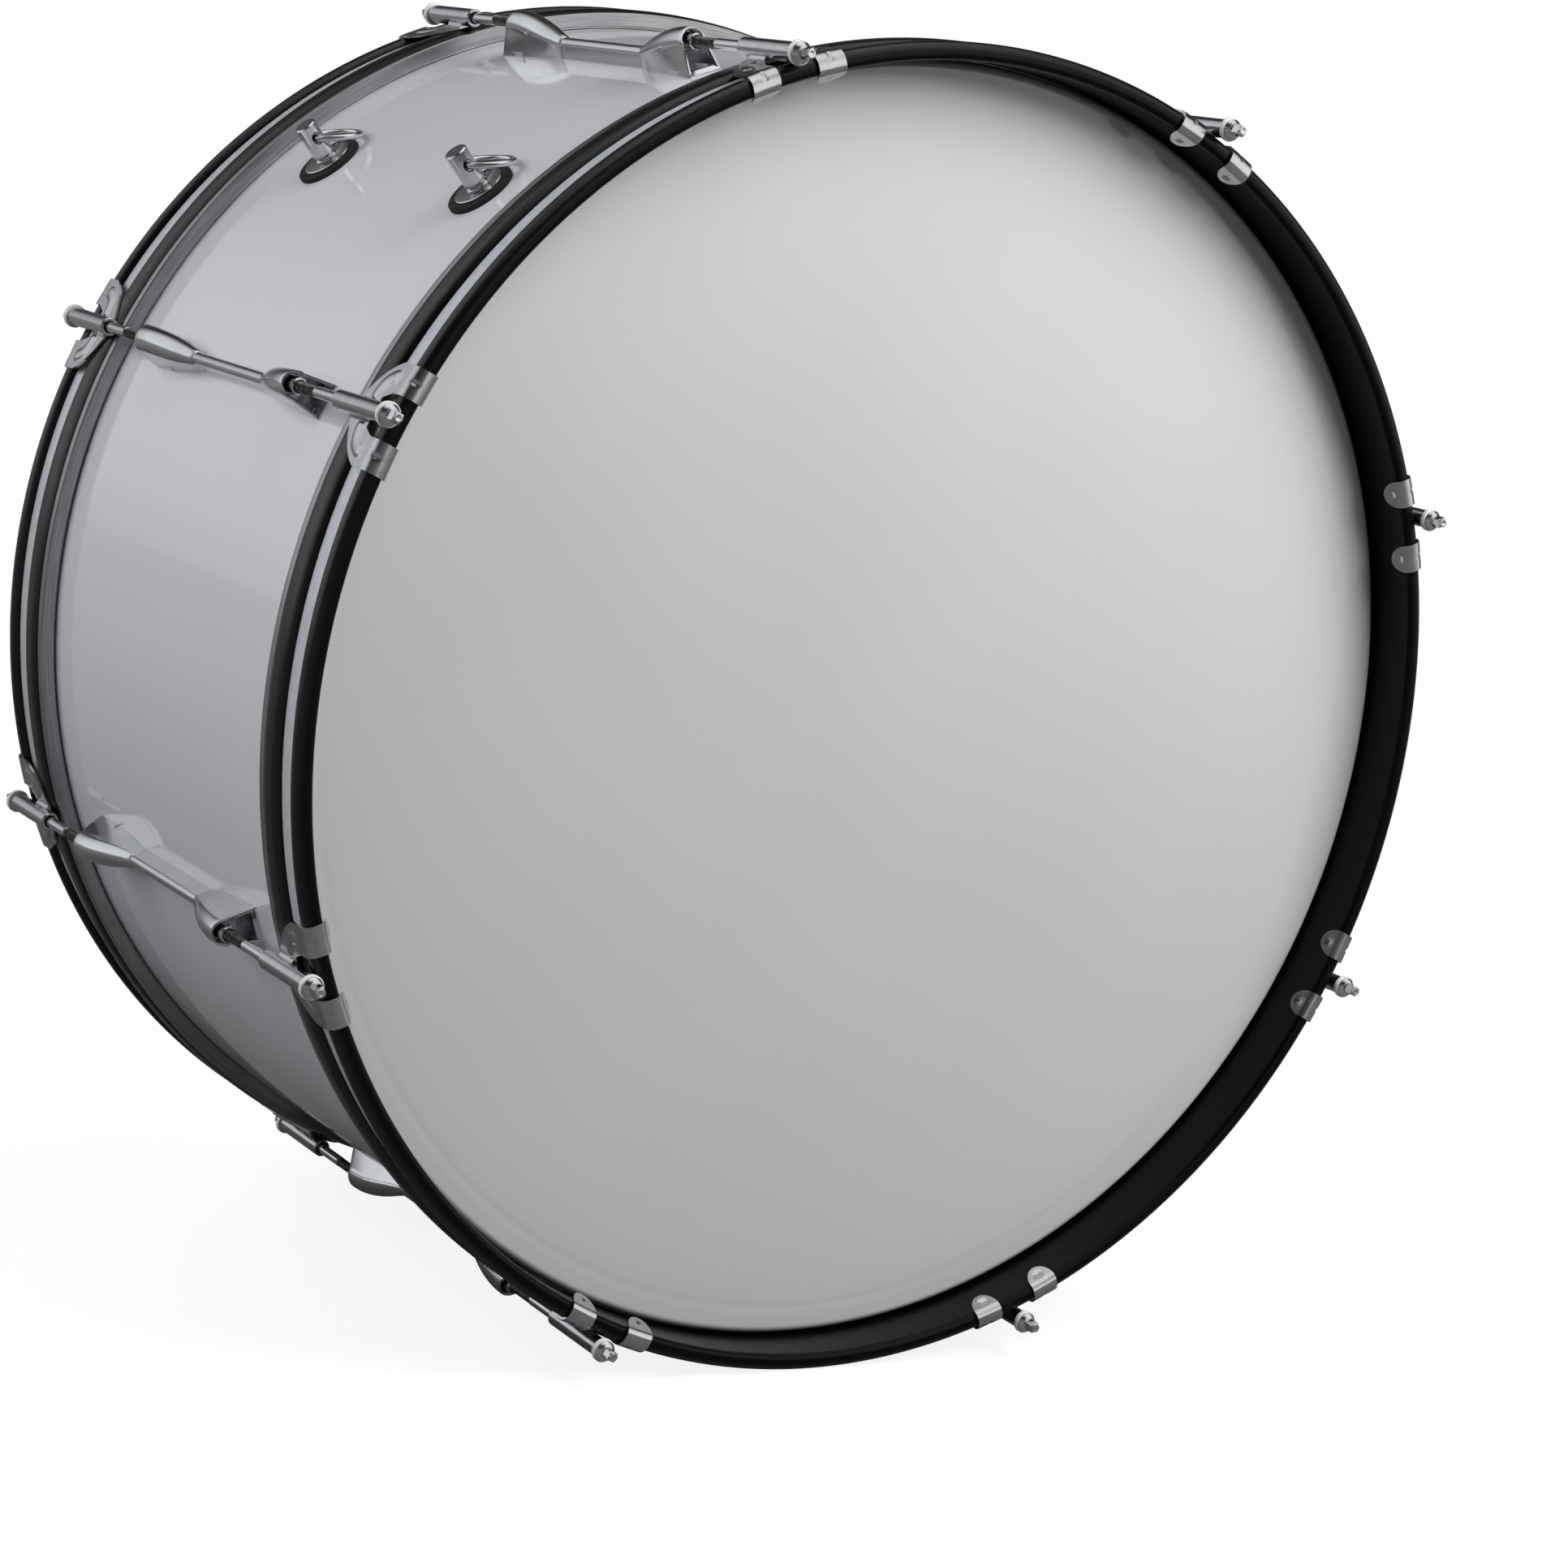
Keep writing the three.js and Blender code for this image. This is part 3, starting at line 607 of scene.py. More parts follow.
# The outline's places as (across, reach): the wing's bowed edge, the straps with the
# shoulder under them, and the notch, with the slant of its two corners
WING_ROOT = (5.5, 147.2)
WING_BULGE = (21.0, 154.5)
WING_END = (26.4, 168.2)
WING_POINTS = 12
STRAP_INNER = 11.0
STRAP_MIDDLE = 18.7
SHOULDER = 172.8
SHOULDER_SLANT = (0.5, 1.2)
NOTCH = (7.6, 165.2)
NOTCH_SLANT = (0.7, 1.2)
# The tab: its half-round end, its splay in degrees, and its length before it is cut
TAB_END = 173.5
TAB_RADIUS = 7.7
TAB_SPLAY = 28
TAB_RUN = 17
TAB_STEPS = 20
# How far the cutters reach: past the hoop's front, from the middle out and back of a tab,
# and the radii between which they stand
PLAN_PAST = 4
WASTE_SIDES = (-1, 32)
WASTE_BACK = 16
CUT_LOW = BORE - 20
CUT_TABS = LIP_INNER[0] - 1
CUT_HIGH = CREST + 8
CUT_PAST = 1
# The rib's spine, half width and height, and the share of that half in which it rises
RIB_START = (8.6, 159.3)
RIB_BOW = (16.2, 160.2)
RIB_POINTS = 40
RIB_HALF = 3.6
RIB_HEIGHT = 1.05
RIB_SLOPE = 0.7
# The dents: the strap's by its turn round the lip in radians, the tab's by its reach,
# each with half sizes along and across
STRAP_DENT_TURN = 0.85
STRAP_DENT = (2.6, 1.5)
TAB_DENT_PLACE = 177.0
TAB_DENT = (1.7, 2.6)
DENT_DEPTH = 0.6
# The neck's reach, and its half widths with their heights over the hoop's crest
NECK = (147.2, 161.6)
NECK_STEPS = [(6.6, 0.6), (5.2, 1.7), (4.4, 2.6), (4.0, 3.6), (3.9, 4.8)]
TUBE_RADIUS = 4.8
TUBE_BORE = 3.1
TUBE_ENDS = (137.5, 184.0)
TUBE_ROUND = 0.4
TUBE_FUNNEL = (0.9, 0.6)
ROD_STEPS = 40
# How near to a drawn corner a vertex counts as that corner
NEAR = 0.01 * MM


def line_through(places):
    """In edit mode, a line of edges drawn from place to place and left selected."""
    bpy.ops.mesh.primitive_plane_add(size=MM, location=places[0])
    bpy.ops.mesh.merge(type="CENTER")
    for here, there in zip(places, places[1:]):
        bpy.ops.mesh.extrude_region_move(TRANSFORM_OT_translate={"value": there - here})


def new_piece(name):
    """A new piece at the origin with nothing in it yet, in edit mode."""
    bpy.ops.object.select_all(action="DESELECT")
    bpy.ops.mesh.primitive_plane_add(size=MM)
    bpy.context.object.name = name
    bpy.ops.object.mode_set(mode="EDIT")
    bpy.ops.mesh.select_all(action="SELECT")
    bpy.ops.mesh.delete(type="VERT")
    return bpy.context.object


def closed_up(piece):
    """Merges doubles, turns the faces outwards and leaves edit mode."""
    bpy.ops.mesh.select_all(action="SELECT")
    bpy.ops.mesh.remove_doubles(threshold=MERGE)
    bpy.ops.mesh.normals_make_consistent(inside=False)
    bpy.ops.object.mode_set(mode="OBJECT")
    return piece


def turned_outwards(piece):
    """Turns an open skin inside out if its highest face looks down."""
    if max(piece.data.polygons, key=lambda face: face.center.z).normal.z < 0:
        piece.data.flip_normals()


def pick(test):
    """In edit mode, selects the vertices whose place passes a test."""
    bpy.ops.mesh.select_mode(type="VERT")
    bpy.ops.mesh.select_all(action="DESELECT")
    edited = bmesh.from_edit_mesh(bpy.context.object.data)
    for vertex in edited.verts:
        vertex.select = test(vertex.co)
    edited.select_flush_mode()
    bmesh.update_edit_mesh(bpy.context.object.data)


def skin(name, sections, closed=True):
    """A skin bridged from each section to the next; closed sections also get their ends filled."""
    piece = new_piece(name)
    for section in sections:
        line_through(section + section[:1] if closed else section)
    bpy.ops.mesh.select_all(action="SELECT")
    bpy.ops.mesh.remove_doubles(threshold=MERGE)
    for near, far in zip(sections, sections[1:]):
        pick(lambda place: min((place - p).length for p in near + far) < NEAR)
        bpy.ops.mesh.bridge_edge_loops()
    for end in (sections[0], sections[-1]) if closed else ():
        pick(lambda place: min((place - p).length for p in end) < NEAR)
        bpy.ops.mesh.edge_face_add()
    return closed_up(piece)


def prism(name, outline, low, high):
    """A cutter: an outline of (across, reach) corners in mm raised between two radii."""
    piece = new_piece(name)
    line_through([AXLE + Vector((s, d, low)) * MM for s, d in outline])
    bpy.ops.mesh.select_all(action="SELECT")
    bpy.ops.mesh.edge_face_add()
    bpy.ops.mesh.extrude_region_move(TRANSFORM_OT_translate={"value": UP * (high - low) * MM})
    return closed_up(piece)


def worked(piece, kind, **settings):
    """Adds a modifier with its settings and applies it."""
    bpy.ops.object.select_all(action="DESELECT")
    bpy.context.view_layer.objects.active = piece
    piece.select_set(True)
    modifier = piece.modifiers.new(kind.lower(), kind)
    for name, value in settings.items():
        setattr(modifier, name, value)
    bpy.ops.object.modifier_apply(modifier=modifier.name)
    return piece


def combined(piece, other, operation="UNION"):
    """Joins, cuts or intersects a piece with another, which is used up."""
    worked(piece, "BOOLEAN", operation=operation, object=other, solver="EXACT")
    bpy.data.objects.remove(other)
    return piece


def steps_between(start, stop, step):
    """Even places from start to stop, about a step apart."""
    count = max(1, round(abs(stop - start) / step))
    return [start + (stop - start) * i / count for i in range(count + 1)]


def bow(start, control, end, steps):
    """Points along a curve drawn from start to end and pulled towards a control place."""
    start, control, end = Vector(start), Vector(control), Vector(end)
    shares = [i / steps for i in range(steps + 1)]
    return [start * (1 - t) ** 2 + control * 2 * t * (1 - t) + end * t * t for t in shares]


# Stamped steel under bright nickel: a fairly sharp mirror, faintly clouded where the
# sheet was rolled, and a little greyer than chrome
plated_sheet = finish("nickel_plated_sheet", Metallic=1.0)
sheet_place = node(plated_sheet, "TexCoord")
sheet_marks = node(plated_sheet, "TexNoise", {
    "Vector": sheet_place.outputs["Object"], "Scale": 1 / (5 * MM), "Detail": 4,
})
sheet_tones = node(plated_sheet, "ValToRGB", {"Fac": sheet_marks.outputs["Fac"]}, [
    (0.3, "#b9babc"), (0.7, "#c5c6c7"),
])
link(plated_sheet, sheet_tones.outputs["Color"], "Base Color")
sheet_roughness = node(plated_sheet, "MapRange", {
    "Value": sheet_marks.outputs["Fac"], "To Min": 0.14, "To Max": 0.22,
})
link(plated_sheet, sheet_roughness.outputs["Result"], "Roughness")
sheet_bump = node(plated_sheet, "Bump", {
    "Height": sheet_marks.outputs["Fac"], "Strength": 0.1, "Distance": 0.04 * MM,
})
link(plated_sheet, sheet_bump.outputs["Normal"], "Normal")


def claw_sheet():
    """The blank, rolled to the hoop's curve and folded over its lip, with its ribs and dents pressed."""
    rest = CREST + CLAW_GAP
    path = [(rest, d) for d in steps_between(CLAW_BACK, LIP_OUTER[1], SHEET_STEP)]
    path += arc(LIP_OUTER[:2], LIP_OUTER[2] + CLAW_GAP, 0, 90, 9)[1:]
    path += arc(LIP_INNER[:2], LIP_INNER[2] + CLAW_GAP, 90, 180 - TAB_SPLAY, 7)
    slope = math.tan(math.radians(TAB_SPLAY))
    tab_radius, tab_reach = path[-1]
    path += [(tab_radius - slope * run, tab_reach - run) for run in steps_between(0, TAB_RUN, SHEET_STEP)[1:]]
    half_turn = CLAW_HALF / CREST
    piece = new_piece("claw_blank")
    lean = Matrix.Rotation(-half_turn, 3, DEPTH)
    line_through([AXLE + lean @ Vector((0, d, r)) * MM for r, d in path])
    bpy.ops.mesh.select_all(action="SELECT")
    bpy.ops.mesh.spin(
        steps=round(2 * CLAW_HALF / SHEET_STEP), angle=-2 * half_turn, center=AXLE, axis=DEPTH,
    )
    closed_up(piece)
    turned_outwards(piece)
    rib = piece.vertex_groups.new(name="rib")
    dent = piece.vertex_groups.new(name="dent")
    spine = bow(RIB_START, RIB_BOW, (STRAP_MIDDLE, WING_END[1]), RIB_POINTS)
    for vertex in piece.data.vertices:
        place = Vector((abs(vertex.co.x), vertex.co.y)) / MM
        aside = place.x - STRAP_MIDDLE
        if vertex.co.z < AXIS_HEIGHT + LIP_INNER[0] * MM:
            rise = 0
            off = math.hypot((place.y - TAB_DENT_PLACE) / TAB_DENT[0], aside / TAB_DENT[1])
        else:
            away = min((place - point).length for point in spine)
            rise = min(max((RIB_HALF - away) / (RIB_SLOPE * RIB_HALF), 0), 1)
            turn = math.atan2(place.y - LIP_OUTER[1], (vertex.co.z - AXIS_HEIGHT) / MM - LIP_OUTER[0])
            along = abs(turn - STRAP_DENT_TURN) * LIP_OUTER[2]
            off = math.hypot(along / STRAP_DENT[0], aside / STRAP_DENT[1])
        rib.add([vertex.index], rise * rise * (3 - 2 * rise), "REPLACE")
        dent.add([vertex.index], max(0, 1 - off * off), "REPLACE")
    worked(piece, "DISPLACE", strength=RIB_HEIGHT * MM, mid_level=0, vertex_group="rib")
    worked(piece, "DISPLACE", strength=-DENT_DEPTH * MM, mid_level=0, vertex_group="dent")
    return worked(piece, "SOLIDIFY", thickness=CLAW_SHEET * MM, offset=1)


def claw_plan():
    """The stamped outline as seen from outside, right half first."""
    front = HOOP_FRONT + PLAN_PAST
    half = [tuple(point) for point in bow(WING_ROOT, WING_BULGE, WING_END, WING_POINTS)] + [
        (WING_END[0], front), (STRAP_INNER, front), (STRAP_INNER, SHOULDER),
        (STRAP_INNER - SHOULDER_SLANT[0], SHOULDER - SHOULDER_SLANT[1]),
        (NOTCH[0] + NOTCH_SLANT[0], NOTCH[1] + NOTCH_SLANT[1]), NOTCH,
    ]
    return half + [(-s, d) for s, d in reversed(half)]


def tab_waste(side):
    """What is cut away round a tab's half-round end."""
    centre = TAB_END + TAB_RADIUS
    near, far = WASTE_SIDES
    round_end = [
        (STRAP_MIDDLE + TAB_RADIUS * math.cos(t), centre - TAB_RADIUS * math.sin(t))
        for t in [math.pi * i / TAB_STEPS for i in range(TAB_STEPS + 1)]
    ]
    outline = [(near, TAB_END - WASTE_BACK), (far, TAB_END - WASTE_BACK), (far, centre)]
    outline += round_end + [(near, centre)]
    return prism("tab_waste", [(side * s, d) for s, d in outline], CUT_LOW, CUT_TABS)


claw = claw_sheet()
combined(claw, prism("claw_plan", claw_plan(), CUT_LOW, CUT_HIGH), "INTERSECT")
combined(claw, tab_waste(1), "DIFFERENCE")
combined(claw, tab_waste(-1), "DIFFERENCE")
neck = skin("claw_neck", [
    [AXLE + Vector((s, d, CREST + up)) * MM for s, d in (
        (half, NECK[0]), (half, NECK[1]), (-half, NECK[1]), (-half, NECK[0]))]
    for half, up in NECK_STEPS
])
combined(claw, neck)
tube = turned("claw_tube", [
    (0, TUBE_ENDS[0]), (TUBE_RADIUS - TUBE_ROUND, TUBE_ENDS[0]), (TUBE_RADIUS, TUBE_ENDS[0] + TUBE_ROUND),
    (TUBE_RADIUS, TUBE_ENDS[1] - TUBE_ROUND), (TUBE_RADIUS - TUBE_ROUND, TUBE_ENDS[1]), (0, TUBE_ENDS[1]),
], ROD_STEPS, STATION)
combined(claw, tube)
bore = turned("claw_bore", [
    (0, TUBE_ENDS[0] - CUT_PAST), (TUBE_BORE + TUBE_FUNNEL[0], TUBE_ENDS[0] - CUT_PAST),
    (TUBE_BORE, TUBE_ENDS[0] + TUBE_FUNNEL[1]), (TUBE_BORE, TUBE_ENDS[1] - TUBE_ROUND),
    (TUBE_BORE + TUBE_ROUND, TUBE_ENDS[1] + CUT_PAST), (0, TUBE_ENDS[1] + CUT_PAST),
], ROD_STEPS, STATION)
combined(claw, bore, "DIFFERENCE")
bpy.ops.object.shade_smooth_by_angle(angle=CLAW_SMOOTH)


def turn_round(angle):
    """A turn about the drum's axle."""
    return Matrix.Translation(AXLE) @ Matrix.Rotation(angle, 4, "Y") @ Matrix.Translation(-AXLE)


SIDES = [("rear", Matrix.Identity(4)), ("front", FRONT)]
TURNS = [turn_round((k - 0.5) * 2 * math.pi / STATIONS) for k in range(STATIONS)]


def set_round(piece, stem, material, slot, body, node_stem=None):
    """Copies a piece to every station of both sides, and takes the pattern piece away."""
    for side, half in SIDES:
        for k, turn in enumerate(TURNS):
            place = f"{side}_{k + 1}"
            twin = copied(piece, f"{stem}_{place}", turn @ half)
            named = [f"{node_stem}_{place}"] if node_stem else []
            fit(twin, material, body.format(place), slot, *named)
    bpy.data.objects.remove(piece)


set_round(claw, "stamped_claw", plated_sheet, "satin_chrome", "claw_{}", "claw")


# Tension rods: steel shanks through the claws' tubes, with a domed collar, a square for
# the drum key and a rounded tip. The inner end is threaded into the lug's nut.
SHANK_RADIUS = 2.8
SHANK_INNER = 113.5
SHANK_SLOPE = 0.5
ROD_INNER = 72.3
ROD_POINT = (0.4, 0.6)
COLLAR_BACK = 187.1
ROD_COLLAR = 5.4
COLLAR_EASE = 0.2
COLLAR_SIDE = 0.7
# The collar's dome: how far its centre lies behind the collar, its radius and its turns
DOME_BEHIND = 4.6
DOME_RADIUS = 7.46
DOME_TURNS = (44.5, 66)
DRIVE_BACK = 189.3
DRIVE_FRONT = 195.2
DRIVE_HALF = 2.5
DRIVE_ROUND = 0.45
# The tip, with the width of its rim and the depth of its hollow
TIP_RADIUS = 2.3
TIP_FRONT = 196.4
TIP_SUNK = 1
TIP_ROUND = 0.4
TIP_HOLLOW = (1.0, 0.5)
TIP_STEPS = 32
# The thread: its core, 24 turns to the inch, and its ridge's half widths at foot and
# crest, with the foot's sinking into the core and the crest's play under the shank
THREAD_ROOT = 2.3
THREAD_PITCH = 25.4 / 24
THREAD_TURNS = 39
THREAD_LEAD = 0.4
THREAD_STEPS = 16
RIDGE_FOOT = 0.5
RIDGE_CREST = 0.06
RIDGE_SUNK = 0.1
RIDGE_PLAY = 0.08

# Polished nickel-chrome plate: a clean cool mirror with faint wiping haze
chrome_plate = finish("nickel_chrome_plate", Metallic=1.0)
chrome_place = node(chrome_plate, "TexCoord")
chrome_haze = node(chrome_plate, "TexNoise", {
    "Vector": chrome_place.outputs["Object"], "Scale": 1 / (14 * MM), "Detail": 5,
})
chrome_tones = node(chrome_plate, "ValToRGB", {"Fac": chrome_haze.outputs["Fac"]}, [
    (0.3, "#cbccce"), (0.7, "#d5d6d8"),
])
link(chrome_plate, chrome_tones.outputs["Color"], "Base Color")
chrome_roughness = node(chrome_plate, "MapRange", {
    "Value": chrome_haze.outputs["Fac"], "To Min": 0.12, "To Max": 0.19,
})
link(chrome_plate, chrome_roughness.outputs["Result"], "Roughness")

rod = turned("rod", [
    (0, ROD_INNER), (THREAD_ROOT - ROD_POINT[0], ROD_INNER), (THREAD_ROOT, ROD_INNER + ROD_POINT[1]),
    (THREAD_ROOT, SHANK_INNER - SHANK_SLOPE), (SHANK_RADIUS, SHANK_INNER),
    (SHANK_RADIUS, COLLAR_BACK), (ROD_COLLAR - COLLAR_EASE, COLLAR_BACK),
    (ROD_COLLAR, COLLAR_BACK + COLLAR_EASE), (ROD_COLLAR, COLLAR_BACK + COLLAR_SIDE),
] + arc((0, COLLAR_BACK - DOME_BEHIND), DOME_RADIUS, *DOME_TURNS, 5) + [(0, DRIVE_BACK)], ROD_STEPS, STATION)
bpy.ops.object.select_all(action="DESELECT")
bpy.ops.mesh.primitive_cube_add(size=MM, location=STATION + DEPTH * (COLLAR_BACK + DRIVE_FRONT) / 2 * MM)
drive = bpy.context.object
drive.scale = (2 * DRIVE_HALF, DRIVE_FRONT - COLLAR_BACK, 2 * DRIVE_HALF)
bpy.ops.object.transform_apply()
worked(drive, "BEVEL", width=DRIVE_ROUND * MM, segments=2)
combined(rod, drive)
tip = turned("rod_tip", [
    (0, DRIVE_FRONT - TIP_SUNK), (TIP_RADIUS, DRIVE_FRONT - TIP_SUNK),
] + arc((TIP_RADIUS - TIP_ROUND, TIP_FRONT - TIP_ROUND), TIP_ROUND, 0, 90, 3) + [
    (TIP_RADIUS - TIP_HOLLOW[0], TIP_FRONT), (0, TIP_FRONT - TIP_HOLLOW[1]),
], TIP_STEPS, STATION)
combined(rod, tip)
bpy.ops.object.shade_smooth_by_angle(angle=SMOOTH_ANGLE)
set_round(rod, "tension_rod", chrome_plate, "chrome", "rod_{}", "rod")

# Cut steel thread, left unpolished and oiled: its flanks are darker than the shank
oiled_thread = finish("oiled_steel_thread", Metallic=1.0, Roughness=0.34)
thread_place = node(oiled_thread, "TexCoord")
thread_grime = node(oiled_thread, "TexNoise", {
    "Vector": thread_place.outputs["Object"], "Scale": 1 / (2 * MM), "Detail": 3,
})
thread_tones = node(oiled_thread, "ValToRGB", {"Fac": thread_grime.outputs["Fac"]}, [
    (0.35, "#4a4845"), (0.65, "#7f7e7c"),
])
link(oiled_thread, thread_tones.outputs["Color"], "Base Color")

thread = new_piece("thread")
ridge = [
    (THREAD_ROOT - RIDGE_SUNK, -RIDGE_FOOT), (SHANK_RADIUS - RIDGE_PLAY, -RIDGE_CREST),
    (SHANK_RADIUS - RIDGE_PLAY, RIDGE_CREST), (THREAD_ROOT - RIDGE_SUNK, RIDGE_FOOT),
]
line_through([(UP * r + DEPTH * d) * MM for r, d in ridge + ridge[:1]])
closed_up(thread)
thread.location = STATION + DEPTH * (ROD_INNER + THREAD_LEAD + RIDGE_FOOT) * MM
worked(
    thread, "SCREW", axis="Y", screw_offset=THREAD_PITCH * MM, iterations=THREAD_TURNS,
    steps=THREAD_STEPS, render_steps=THREAD_STEPS, use_merge_vertices=False,
)
bpy.ops.object.transform_apply()
bpy.ops.object.mode_set(mode="EDIT")
bpy.ops.mesh.select_all(action="SELECT")
bpy.ops.mesh.fill_holes(sides=6)
closed_up(thread)
bpy.ops.object.shade_smooth_by_angle(angle=SMOOTH_ANGLE)
set_round(thread, "rod_thread", oiled_thread, "chrome", "rod_{}")


# Washers: turned nylon rings, one between each claw's tube and the collar of its rod, on
# which the collar turns without biting into the tube.
WASHER_RADIUS = 6.1
WASHER_BORE = 2.95
WASHER_BACK = 184.3
WASHER_FRONT = 187.1
WASHER_ROUND = 0.6

# Natural nylon: milky, slightly yellow, light passing a little way into it
nylon = finish(
    "natural_nylon", Roughness=0.38, IOR=1.53, Subsurface_Weight=0.3,
    Subsurface_Radius=(0.0016, 0.0015, 0.0014), Subsurface_Scale=0.8,
)
nylon_place = node(nylon, "TexCoord")
nylon_cloud = node(nylon, "TexNoise", {
    "Vector": nylon_place.outputs["Object"], "Scale": 1 / (4 * MM),
})
nylon_tones = node(nylon, "ValToRGB", {"Fac": nylon_cloud.outputs["Fac"]}, [
    (0.3, "#d6d6d3"), (0.7, "#dfdfdd"),
])
link(nylon, nylon_tones.outputs["Color"], "Base Color")

washer_rim = WASHER_RADIUS - WASHER_ROUND
washer = turned("washer", (
    [(WASHER_BORE, WASHER_BACK)]
    + arc((washer_rim, WASHER_BACK + WASHER_ROUND), WASHER_ROUND, -90, 0, 4)
    + arc((washer_rim, WASHER_FRONT - WASHER_ROUND), WASHER_ROUND, 0, 90, 4)
    + [(WASHER_BORE, WASHER_FRONT)]
), ROD_STEPS, STATION)
set_round(washer, "nylon_washer", nylon, "chrome", "rod_{}")


# Lugs: die-cast bridges bolted to the shell from inside. A slim beam joins two hoods;
# each hood opens in a slanted mouth, where a swivel nut takes the rod.
SEAT = 330.1
HOOD_START = 41.0
HOOD_END = 96.0
BEAM_HALF = 3.35
BEAM_HEIGHT = 10.6
BEAM_EASE = 0.15
BEAM_LOOPS = (2.4, 0.6)
HOOD_TOP = 7.2
HOOD_FOOT = 9.2
HOOD_HEIGHT = 22.9
HOOD_WALL = 1.4
MOUTH_LEAN = 8.5
# How early the hood gains its width and height: the higher, the earlier
TOP_POWER = 4.5
HEIGHT_POWER = 2.2
# The foot's hollow scallop by the beam: its share of the hood, and of the foot's growth
SCALLOP = (0.2, 0.44)
SCALLOP_POWER = 1.8
SPREAD_POWER = 1.6
# The bead where beam meets hood: its height, its first part, and the shares of the hood
# at which it is full and gone
HOOD_BEAD = 0.55
BEAD_START = 0.8
BEAD_FULL = 0.018
BEAD_GONE = 0.12
HOOD_SHARES = [0.06, 0.1, 0.16, 0.23, 0.31, 0.4, 0.5, 0.6, 0.7, 0.8, 0.88, 0.94, 1.0]
# The section: steps of its round ridge, the crease under it, and the cheek's loops
ARCH_STEPS = 9
CREASE_STEP = 0.28
CHEEK_SHARES = [0.84, 0.78, 0.36, 0.14, 0.07, 0.0]
# The width of the rounds on its edges, and the angle past which an edge has one
LUG_ROUND = 0.25
LUG_CORNER = math.radians(50)
# The foot in its side view as (reach, height), its half width and its two pockets
FOOT_PROFILE = [(75.0, 0.0), (96.0, 0.0), (96.0, 0.9), (95.6, 1.4), (94.2, 2.7), (93.8, 2.8), (75.0, 2.8)]
FOOT_HALF = 8.6
POCKET_SIZE = (2.6, 3.4, 1.6)
POCKET_PLACE = (6.1, 91.2)
# The wall behind the nut: reach, half widths at foot and top, height, lean and thickness
BACK_WALL = (75.5, 7.2, 6.2, 20.0, 3.0)
BACK_WALL_SHEET = 1.6
SOCKET_RADIUS = 5.3
SOCKET_FRONT = 83.5
SOCKET_PLAY = 0.2
NUT_RADIUS = 4.2
NUT_ENDS = (76.0, 94.0)
NUT_ROUND = 0.6
NUT_PLAY = 0.15
NUT_MOUTH = 0.5


def arch(reach, foot, top, high, lean):
    """A half section from the ridge to the foot, with half widths at both and a height."""
    shoulder = high - top
    rim = [(top * math.sin(t), shoulder + top * math.cos(t))
           for t in [math.pi / 2 * i / ARCH_STEPS for i in range(ARCH_STEPS + 1)]]
    side, crease = top - CREASE_STEP, shoulder - CREASE_STEP
    cheek = [(foot + (side - foot) * share, crease * share) for share in CHEEK_SHARES]
    return [
        AXLE + Vector((s, reach - lean * up / HOOD_HEIGHT, SEAT + up)) * MM
        for s, up in rim + [(side, crease)] + cheek
    ]


def grown(share, power):
    """A growth from 0 to 1 that is quick at first and then slows."""
    return 1 - (1 - share) ** power


def flared(share):
    """The foot's growth: a hollow scallop by the beam, then a slow spread."""
    place, growth = SCALLOP
    if share < place:
        return growth * (share / place) ** SCALLOP_POWER
    return growth + (1 - growth) * grown((share - place) / (1 - place), SPREAD_POWER)


def hood_section(share, swell=0.0):
    """The hood's half section at a share of its length."""
    return arch(
        HOOD_START + share * (HOOD_END - HOOD_START),
        BEAM_HALF + (HOOD_FOOT - BEAM_HALF) * flared(share) + swell,
        BEAM_HALF + (HOOD_TOP - BEAM_HALF) * grown(share, TOP_POWER) + swell,
        BEAM_HEIGHT + (HOOD_HEIGHT - BEAM_HEIGHT) * grown(share, HEIGHT_POWER) + swell,
        MOUTH_LEAN * share ** 2,
    )


lug_sections = [
    arch(reach, BEAM_HALF, BEAM_HALF - BEAM_EASE, BEAM_HEIGHT, 0)
    for reach in (0, HOOD_START - BEAM_LOOPS[0], HOOD_START - BEAM_LOOPS[1])
]
lug_sections += [hood_section(0.0, HOOD_BEAD * BEAD_START), hood_section(BEAD_FULL, HOOD_BEAD)]
lug_sections += [
    hood_section(share, HOOD_BEAD * max(0.0, 1 - share / BEAD_GONE)) for share in HOOD_SHARES
]
lug = skin("lug", lug_sections, closed=False)
worked(lug, "MIRROR", use_axis=(True, True, False), merge_threshold=NEAR)
bpy.ops.object.mode_set(mode="EDIT")
closed_up(lug)
turned_outwards(lug)
worked(lug, "SOLIDIFY", thickness=HOOD_WALL * MM, offset=-1)
worked(lug, "BEVEL", width=LUG_ROUND * MM, segments=2, limit_method="ANGLE", angle_limit=LUG_CORNER)
bpy.ops.object.shade_smooth_by_angle(angle=SMOOTH_ANGLE)

foot = skin("lug_foot", [
    [AXLE + Vector((side * FOOT_HALF, reach, SEAT + up)) * MM for reach, up in FOOT_PROFILE]
    for side in (-1, 1)
])
foot_top = SEAT + FOOT_PROFILE[-1][1]
for side in (-1, 1):
    pocket = new_piece("pocket")
    pocket_place = AXLE + Vector((side * POCKET_PLACE[0], POCKET_PLACE[1], foot_top)) * MM
    bpy.ops.mesh.primitive_cube_add(size=MM, scale=POCKET_SIZE, location=pocket_place)
    combined(foot, closed_up(pocket), "DIFFERENCE")
wall_right = arch(*BACK_WALL)
wall_left = [Vector((-p.x, p.y, p.z)) for p in reversed(wall_right[1:])]
back_wall = skin("back_wall", [
    [p + DEPTH * shift * MM for p in wall_right + wall_left] for shift in (0, BACK_WALL_SHEET)
])
